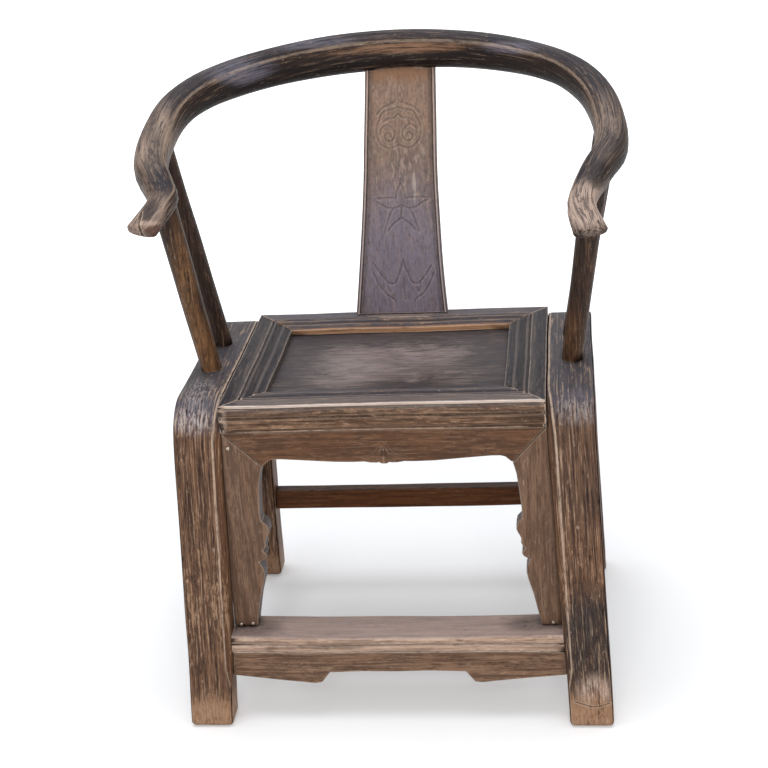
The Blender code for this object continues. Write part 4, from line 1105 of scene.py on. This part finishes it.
# %% Seat
PANEL_ROUND = 0.0015
MOULDED = (
    ("seat_front_rail", "seat_wood", "X"), ("seat_rear_rail", "seat_wood", "X"),
    ("seat_left_stile", "stile_wood", "Y"), ("seat_right_stile", "stile_wood", "Y"),
)
for offset, (member, wood, axis) in enumerate(MOULDED, 4):
    straight_piece(member, "seat_wood", wood, axis, offset, rework=mark_hollows)
straight_piece("seat_panel", "panel_wood", "panel_wood", "X", 8, PANEL_ROUND)
for offset, side in enumerate(("left", "right")):
    worn_piece("seat_batten_" + side, "stretcher_wood", "stretcher_wood", grain_along("Y"), offset,
               PANEL_ROUND)
print("seat pieces: 7")

# %% [markdown]
# ## Splat
# The splat has a raised rim round a sunken field with three carved ornaments: paired scrolls
# above, a star flower in the middle and a budding plant below. Bump alone would vanish at the
# edges and would not be in the mesh, so the field is built as a fine grid and the carving is real
# depth. Rays find the solid's edges and face at a few heights, smooth curves join them, and the
# rows are close together only where there is carving. The top row stops at the rail's underside.

# %% Carved lines of the splat, in millimetres from the ornament's middle line and over the seat
PLANT_HALF = (
    ((0, 83.5), (3, 72.5), (6.2, 64), (9.2, 55.5), (13.2, 49.2), (18, 47), (23.6, 49.2), (30, 55.5),
     (37.2, 65), (42.5, 73.5)),
    ((46.5, 64), (40, 49), (33, 37.5), (26.2, 30), (16.5, 23.5), (14, 18), (13.8, 9.5)),
    ((24.5, 50), (25, 43), (21.5, 35)),
    ((0, 56), (0.3, 40), (0, 23)),
)
FLOWER_HALF = (
    ((0, 195.5), (5.8, 184), (7.4, 174), (14, 174.2), (28, 174.5), (41, 173.5)),
    ((41, 170.5), (30.4, 165.5), (21.5, 160), (11, 159), (1, 163)),
    ((12, 159), (17.5, 150), (21.5, 139), (26.5, 124)),
    ((0, 160), (0.2, 152), (0, 144.8)),
    ((0, 144.8), (8.5, 139.2), (16, 133), (21.5, 126.2)),
)
SCROLL_HALF = (
    ((0, 251.2), (9.2, 247), (18.4, 246.8), (27.5, 253), (33.2, 263.5), (33.8, 275.5), (29.3, 287.5),
     (22.5, 298), (13, 300.5), (5.5, 302), (0, 304.5)),
    ((12, 263), (13.5, 266.8), (17.8, 267.8), (20.8, 264.5), (20.5, 259.5), (16, 256), (10, 257.5),
     (6.2, 263.5), (7, 271.5), (12.5, 277.5), (19.8, 279), (26.2, 274.5), (28.5, 267)),
    ((0, 295), (6.5, 289), (15, 288.5), (23.5, 284)),
    ((33, 295), (25, 303.5), (15, 307.5), (4, 312)),
)
STALK = (
    ((-0.8, 245), (0.6, 233), (0.2, 220)),
    ((-42.5, 73.5), (-47, 79)),
)
ORNAMENT_X = 0.0056
SPLAT_LINES = both_sides(PLANT_HALF + FLOWER_HALF + SCROLL_HALF) + in_metres(STALK)
print("carved lines:", len(SPLAT_LINES))

# %% [markdown]
# ## The splat's mesh
# Every row is one closed ring of points round the splat: up the moulded rim on the left, across
# the field, down the rim on the right, and back behind. Two caps close it.

# %% Splat
SPLAT_STATIONS = 14
STATION_STEPS = 20
SPLAT_TOP = 0.835
SPLAT_THICKNESS = 0.011
RIM_RELIEF = 0.002
FIELD_COLUMNS = 92
GROOVE_HALF_WIDTH = 0.0014
GROOVE_DEPTH = 0.0010
RAIL_GAP = 0.0002
SPLAT_START = 0.002
PROBE_X = 0.01
OUTSIDE = 1
CARVED_BANDS = ((0.004, 0.086), (0.118, 0.200), (0.215, 0.310))
PLAIN_ROW_STRIDE = 5
# Distance in from the edge, drop below the rim's front face, and dirt (or, below zero, wear)
RIM_PROFILE = ((0.0, 0.0014, 1.0), (0.0005, 0.0004, 1.0), (0.0022, 0.0001, 0.6), (0.0030, 0.0, -0.9),
               (0.0044, 0.0, -0.8), (0.0052, 0.0005, 0.8), (0.0060, 0.0010, 0.9), (0.0072, 0.0020, 0.60),
               (0.0120, 0.0020, 0.42), (0.0140, 0.0020, 0.0))
GROOVE_DIRT = 0.56
SPLAT_OFFSET = 17


def solid_tree(node_name):
    """The solid's faces, ready to be hit by rays."""
    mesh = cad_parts[node_name].data
    corners = [vertex.co for vertex in mesh.vertices]
    return BVHTree.FromPolygons(corners, [list(face.vertices) for face in mesh.polygons])


def splat_stations():
    """Left edge, right edge and field's face of the solid, at even heights."""
    tree = solid_tree("back_splat")
    low = SEAT_HEIGHT + SPLAT_START
    stations = []
    for i in range(SPLAT_STATIONS + 1):
        z = low + (SPLAT_TOP - low) * i / SPLAT_STATIONS
        face = tree.ray_cast(Vector((PROBE_X, -OUTSIDE, z)), Vector((0, 1, 0)))[0].y
        core = face + SPLAT_THICKNESS / 3
        left = tree.ray_cast(Vector((-OUTSIDE, core, z)), Vector((1, 0, 0)))[0].x
        right = tree.ray_cast(Vector((OUTSIDE, core, z)), Vector((-1, 0, 0)))[0].x
        stations.append(Vector((left, right, face)))
    return low, stations


def splat_rows():
    """Height and section of every row, from just over the seat to above the rail's underside."""
    low, stations = splat_stations()
    spacing = (SPLAT_TOP - low) / SPLAT_STATIONS
    for _ in range(2):
        stations.append(2 * stations[-1] - stations[-2])
    rows = []
    for i, section in enumerate(smooth_curve(stations, STATION_STEPS)):
        z = low + spacing * i / STATION_STEPS
        carving = any(a < z - SEAT_HEIGHT < b for a, b in CARVED_BANDS)
        if carving or i % PLAIN_ROW_STRIDE == 0:
            rows.append((z, section))
    return rows


def splat_ring(z, section):
    """Points round one row, and how deeply each is carved."""
    left, right, face = section
    front = face - RIM_RELIEF
    back = front + SPLAT_THICKNESS
    inset, rounding = RIM_PROFILE[-1][0], RIM_PROFILE[0][1]
    xs = [left + inset + (right - left - 2 * inset) * c / FIELD_COLUMNS for c in range(1, FIELD_COLUMNS)]
    places = np.array([(x - ORNAMENT_X, z - SEAT_HEIGHT) for x in xs])
    depths = carved_amount(places, SPLAT_LINES, GROOVE_HALF_WIDTH)
    ring = [(left + across, front + drop, dirt) for across, drop, dirt in RIM_PROFILE]
    ring += [(x, face + GROOVE_DEPTH * max(depth, 0), depth * GROOVE_DIRT) for x, depth in zip(xs, depths)]
    ring += [(right - across, front + drop, dirt) for across, drop, dirt in reversed(RIM_PROFILE)]
    ring += [(right, back - rounding, 0.0), (right - rounding, back, 0.0),
             (left + rounding, back, 0.0), (left, back - rounding, 0.0)]
    return [(Vector((x, y, z)), depth) for x, y, depth in ring]


def fit_under_rail(rings):
    """Shortens the top rows, column by column, so that they end just under the rail."""
    rail = solid_tree("horseshoe_rail")
    fixed = max(i for i, ring in enumerate(rings) if ring[0][0].z < SPLAT_TOP - SLICE)
    for column in range(len(rings[0])):
        foot, head = rings[fixed][column][0].copy(), rings[-1][column][0].copy()
        reach = head - foot
        hit = rail.ray_cast(foot, reach.normalized())
        share = (hit[3] - RAIL_GAP) / reach.length if hit[0] else 1
        for ring in rings[fixed + 1:]:
            place = ring[column][0]
            place.xyz = foot + (place - foot) * min(share, 1)


def splat_shape():
    """A closed shape from all the rows, with the carving stored at its points."""
    rings = [splat_ring(z, section) for z, section in splat_rows()]
    fit_under_rail(rings)
    shape = bmesh.new()
    layer = shape.verts.layers.float.new("carved")
    grid = []
    for ring in rings:
        grid.append([shape.verts.new(place) for place, depth in ring])
        for vertex, (place, depth) in zip(grid[-1], ring):
            vertex[layer] = float(depth)
    count = len(grid[0])
    for low_row, high_row in zip(grid, grid[1:]):
        for i in range(count):
            j = (i + 1) % count
            shape.faces.new((low_row[i], low_row[j], high_row[j], high_row[i]))
    shape.faces.new(list(reversed(grid[0])))
    shape.faces.new(grid[-1])
    bmesh.ops.recalc_face_normals(shape, faces=shape.faces)
    return shape


shape = splat_shape()
store_grain(shape, grain_along("Z"), SPLAT_OFFSET)
print("points in the splat:", len(shape.verts))
finish_piece(shape, "back_splat", woods["splat_wood"])

# %% [markdown]
# ## Front apron
# In the middle of the apron's lower edge a small fan is carved above the cusp. The apron and
# the two spandrels stand almost upright between the splayed legs, and their faces are flat, so
# it is enough to cut a fine grid across the middle and push its points in.

# %% Front apron and spandrels
FAN_HALF = (
    ((1.2, 23.5), (4.2, 15), (8.8, 9.5), (14, 6.2)),
    ((0.8, 20.5), (2.6, 12.5), (5.6, 7), (8.8, 3.5)),
    ((6, 24), (12, 16.5), (20, 12.5), (29, 11.5)),
    ((0, 17), (0.2, 10), (0, 4)),
)
FAN_HALF_WIDTH = 0.0012
FAN_DEPTH = 0.0010
FAN_DIRT = 0.5
FAN_REACH = 0.034
FAN_HEIGHT = 0.030
BOARD_RUB = 0.6
APRON_ROUND = 0.0018
SPANDREL_ROUND = 0.0026
APRON_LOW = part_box("front_apron")[0]


def carved_fan(shape):
    """Carves the fan into the middle of the apron's front face."""
    lines = [[(x, APRON_LOW.z + z) for x, z in line] for line in both_sides(FAN_HALF)]
    carve_front(shape, lines, (-FAN_REACH, APRON_LOW.z), (FAN_REACH, APRON_LOW.z + FAN_HEIGHT),
                FAN_HALF_WIDTH, FAN_DEPTH, FAN_DIRT)


straight_piece("front_apron", "apron_wood", "apron_wood", "X", 9, APRON_ROUND, rework=carved_fan,
               rub=BOARD_RUB)
for offset, side in enumerate(("left", "right"), 10):
    straight_piece(f"front_{side}_spandrel", "apron_wood", "spandrel_wood", "Z", offset, SPANDREL_ROUND,
                   rub=BOARD_RUB)
print("front boards: 3")

# %% [markdown]
# ## Stretchers and footrest
# The footrest is the front stretcher, rubbed pale by feet, with a shaped apron under it. The
# side and rear stretchers are plain bars that nobody touches, so they kept their colour.

# %% Stretchers and footrest
BAR_ROUND = 0.0016
straight_piece("foot_stretcher", "stretcher_wood", "footrest_wood", "X", 14, rework=mark_hollows)
straight_piece("foot_stretcher_apron", "apron_wood", "foot_apron_wood", "X", 15, APRON_ROUND,
               rub=BOARD_RUB)
straight_piece("rear_stretcher", "stretcher_wood", "stretcher_wood", "X", 16, BAR_ROUND)
for offset, side in enumerate(("left", "right"), 12):
    straight_piece(side + "_side_stretcher", "stretcher_wood", "stretcher_wood", "Y", offset, BAR_ROUND)
print("stretchers and aprons: 5")

# %% [markdown]
# ## Nails
# Four small iron nails hold the spandrels. Their heads are bright where they were rubbed and
# brown where rust stayed, which one noise decides. They keep the solids' shape and take the same
# nudge as the wood round them, so that they stay seated.

# %% Nails
RUST_REPEATS = 900
RUST_DETAIL = 3
RUST_LEVELS = (0.40, 0.62)
IRON_BRIGHT = (0.62, 0.55, 0.48)
IRON_RUST = (0.16, 0.09, 0.05)
IRON_ROUGHNESS = (0.30, 0.75)
IRON_METALLIC = 0.8


def rubbed_iron():
    """Iron that is bright where rubbed and brown with rust elsewhere."""
    material, tree, shader = new_material("rubbed_iron")
    rust = stretched_noise(tree, stored(tree, "grain"), RUST_REPEATS, RUST_REPEATS, RUST_DETAIL)
    colour = blend(tree, level(tree, rust, *RUST_LEVELS), IRON_BRIGHT, IRON_RUST)
    tree.links.new(colour, shader.inputs["Base Color"])
    tree.links.new(level(tree, rust, *RUST_LEVELS, *IRON_ROUGHNESS), shader.inputs["Roughness"])
    shader.inputs["Metallic"].default_value = IRON_METALLIC
    return material


woods["rubbed_iron"] = rubbed_iron()
for offset, nail in enumerate(("left_outer", "left_inner", "right_inner", "left_top")):
    worn_piece("nail_" + nail, "nail_iron", "rubbed_iron", grain_along("Y"), offset)
print("nails: 4")
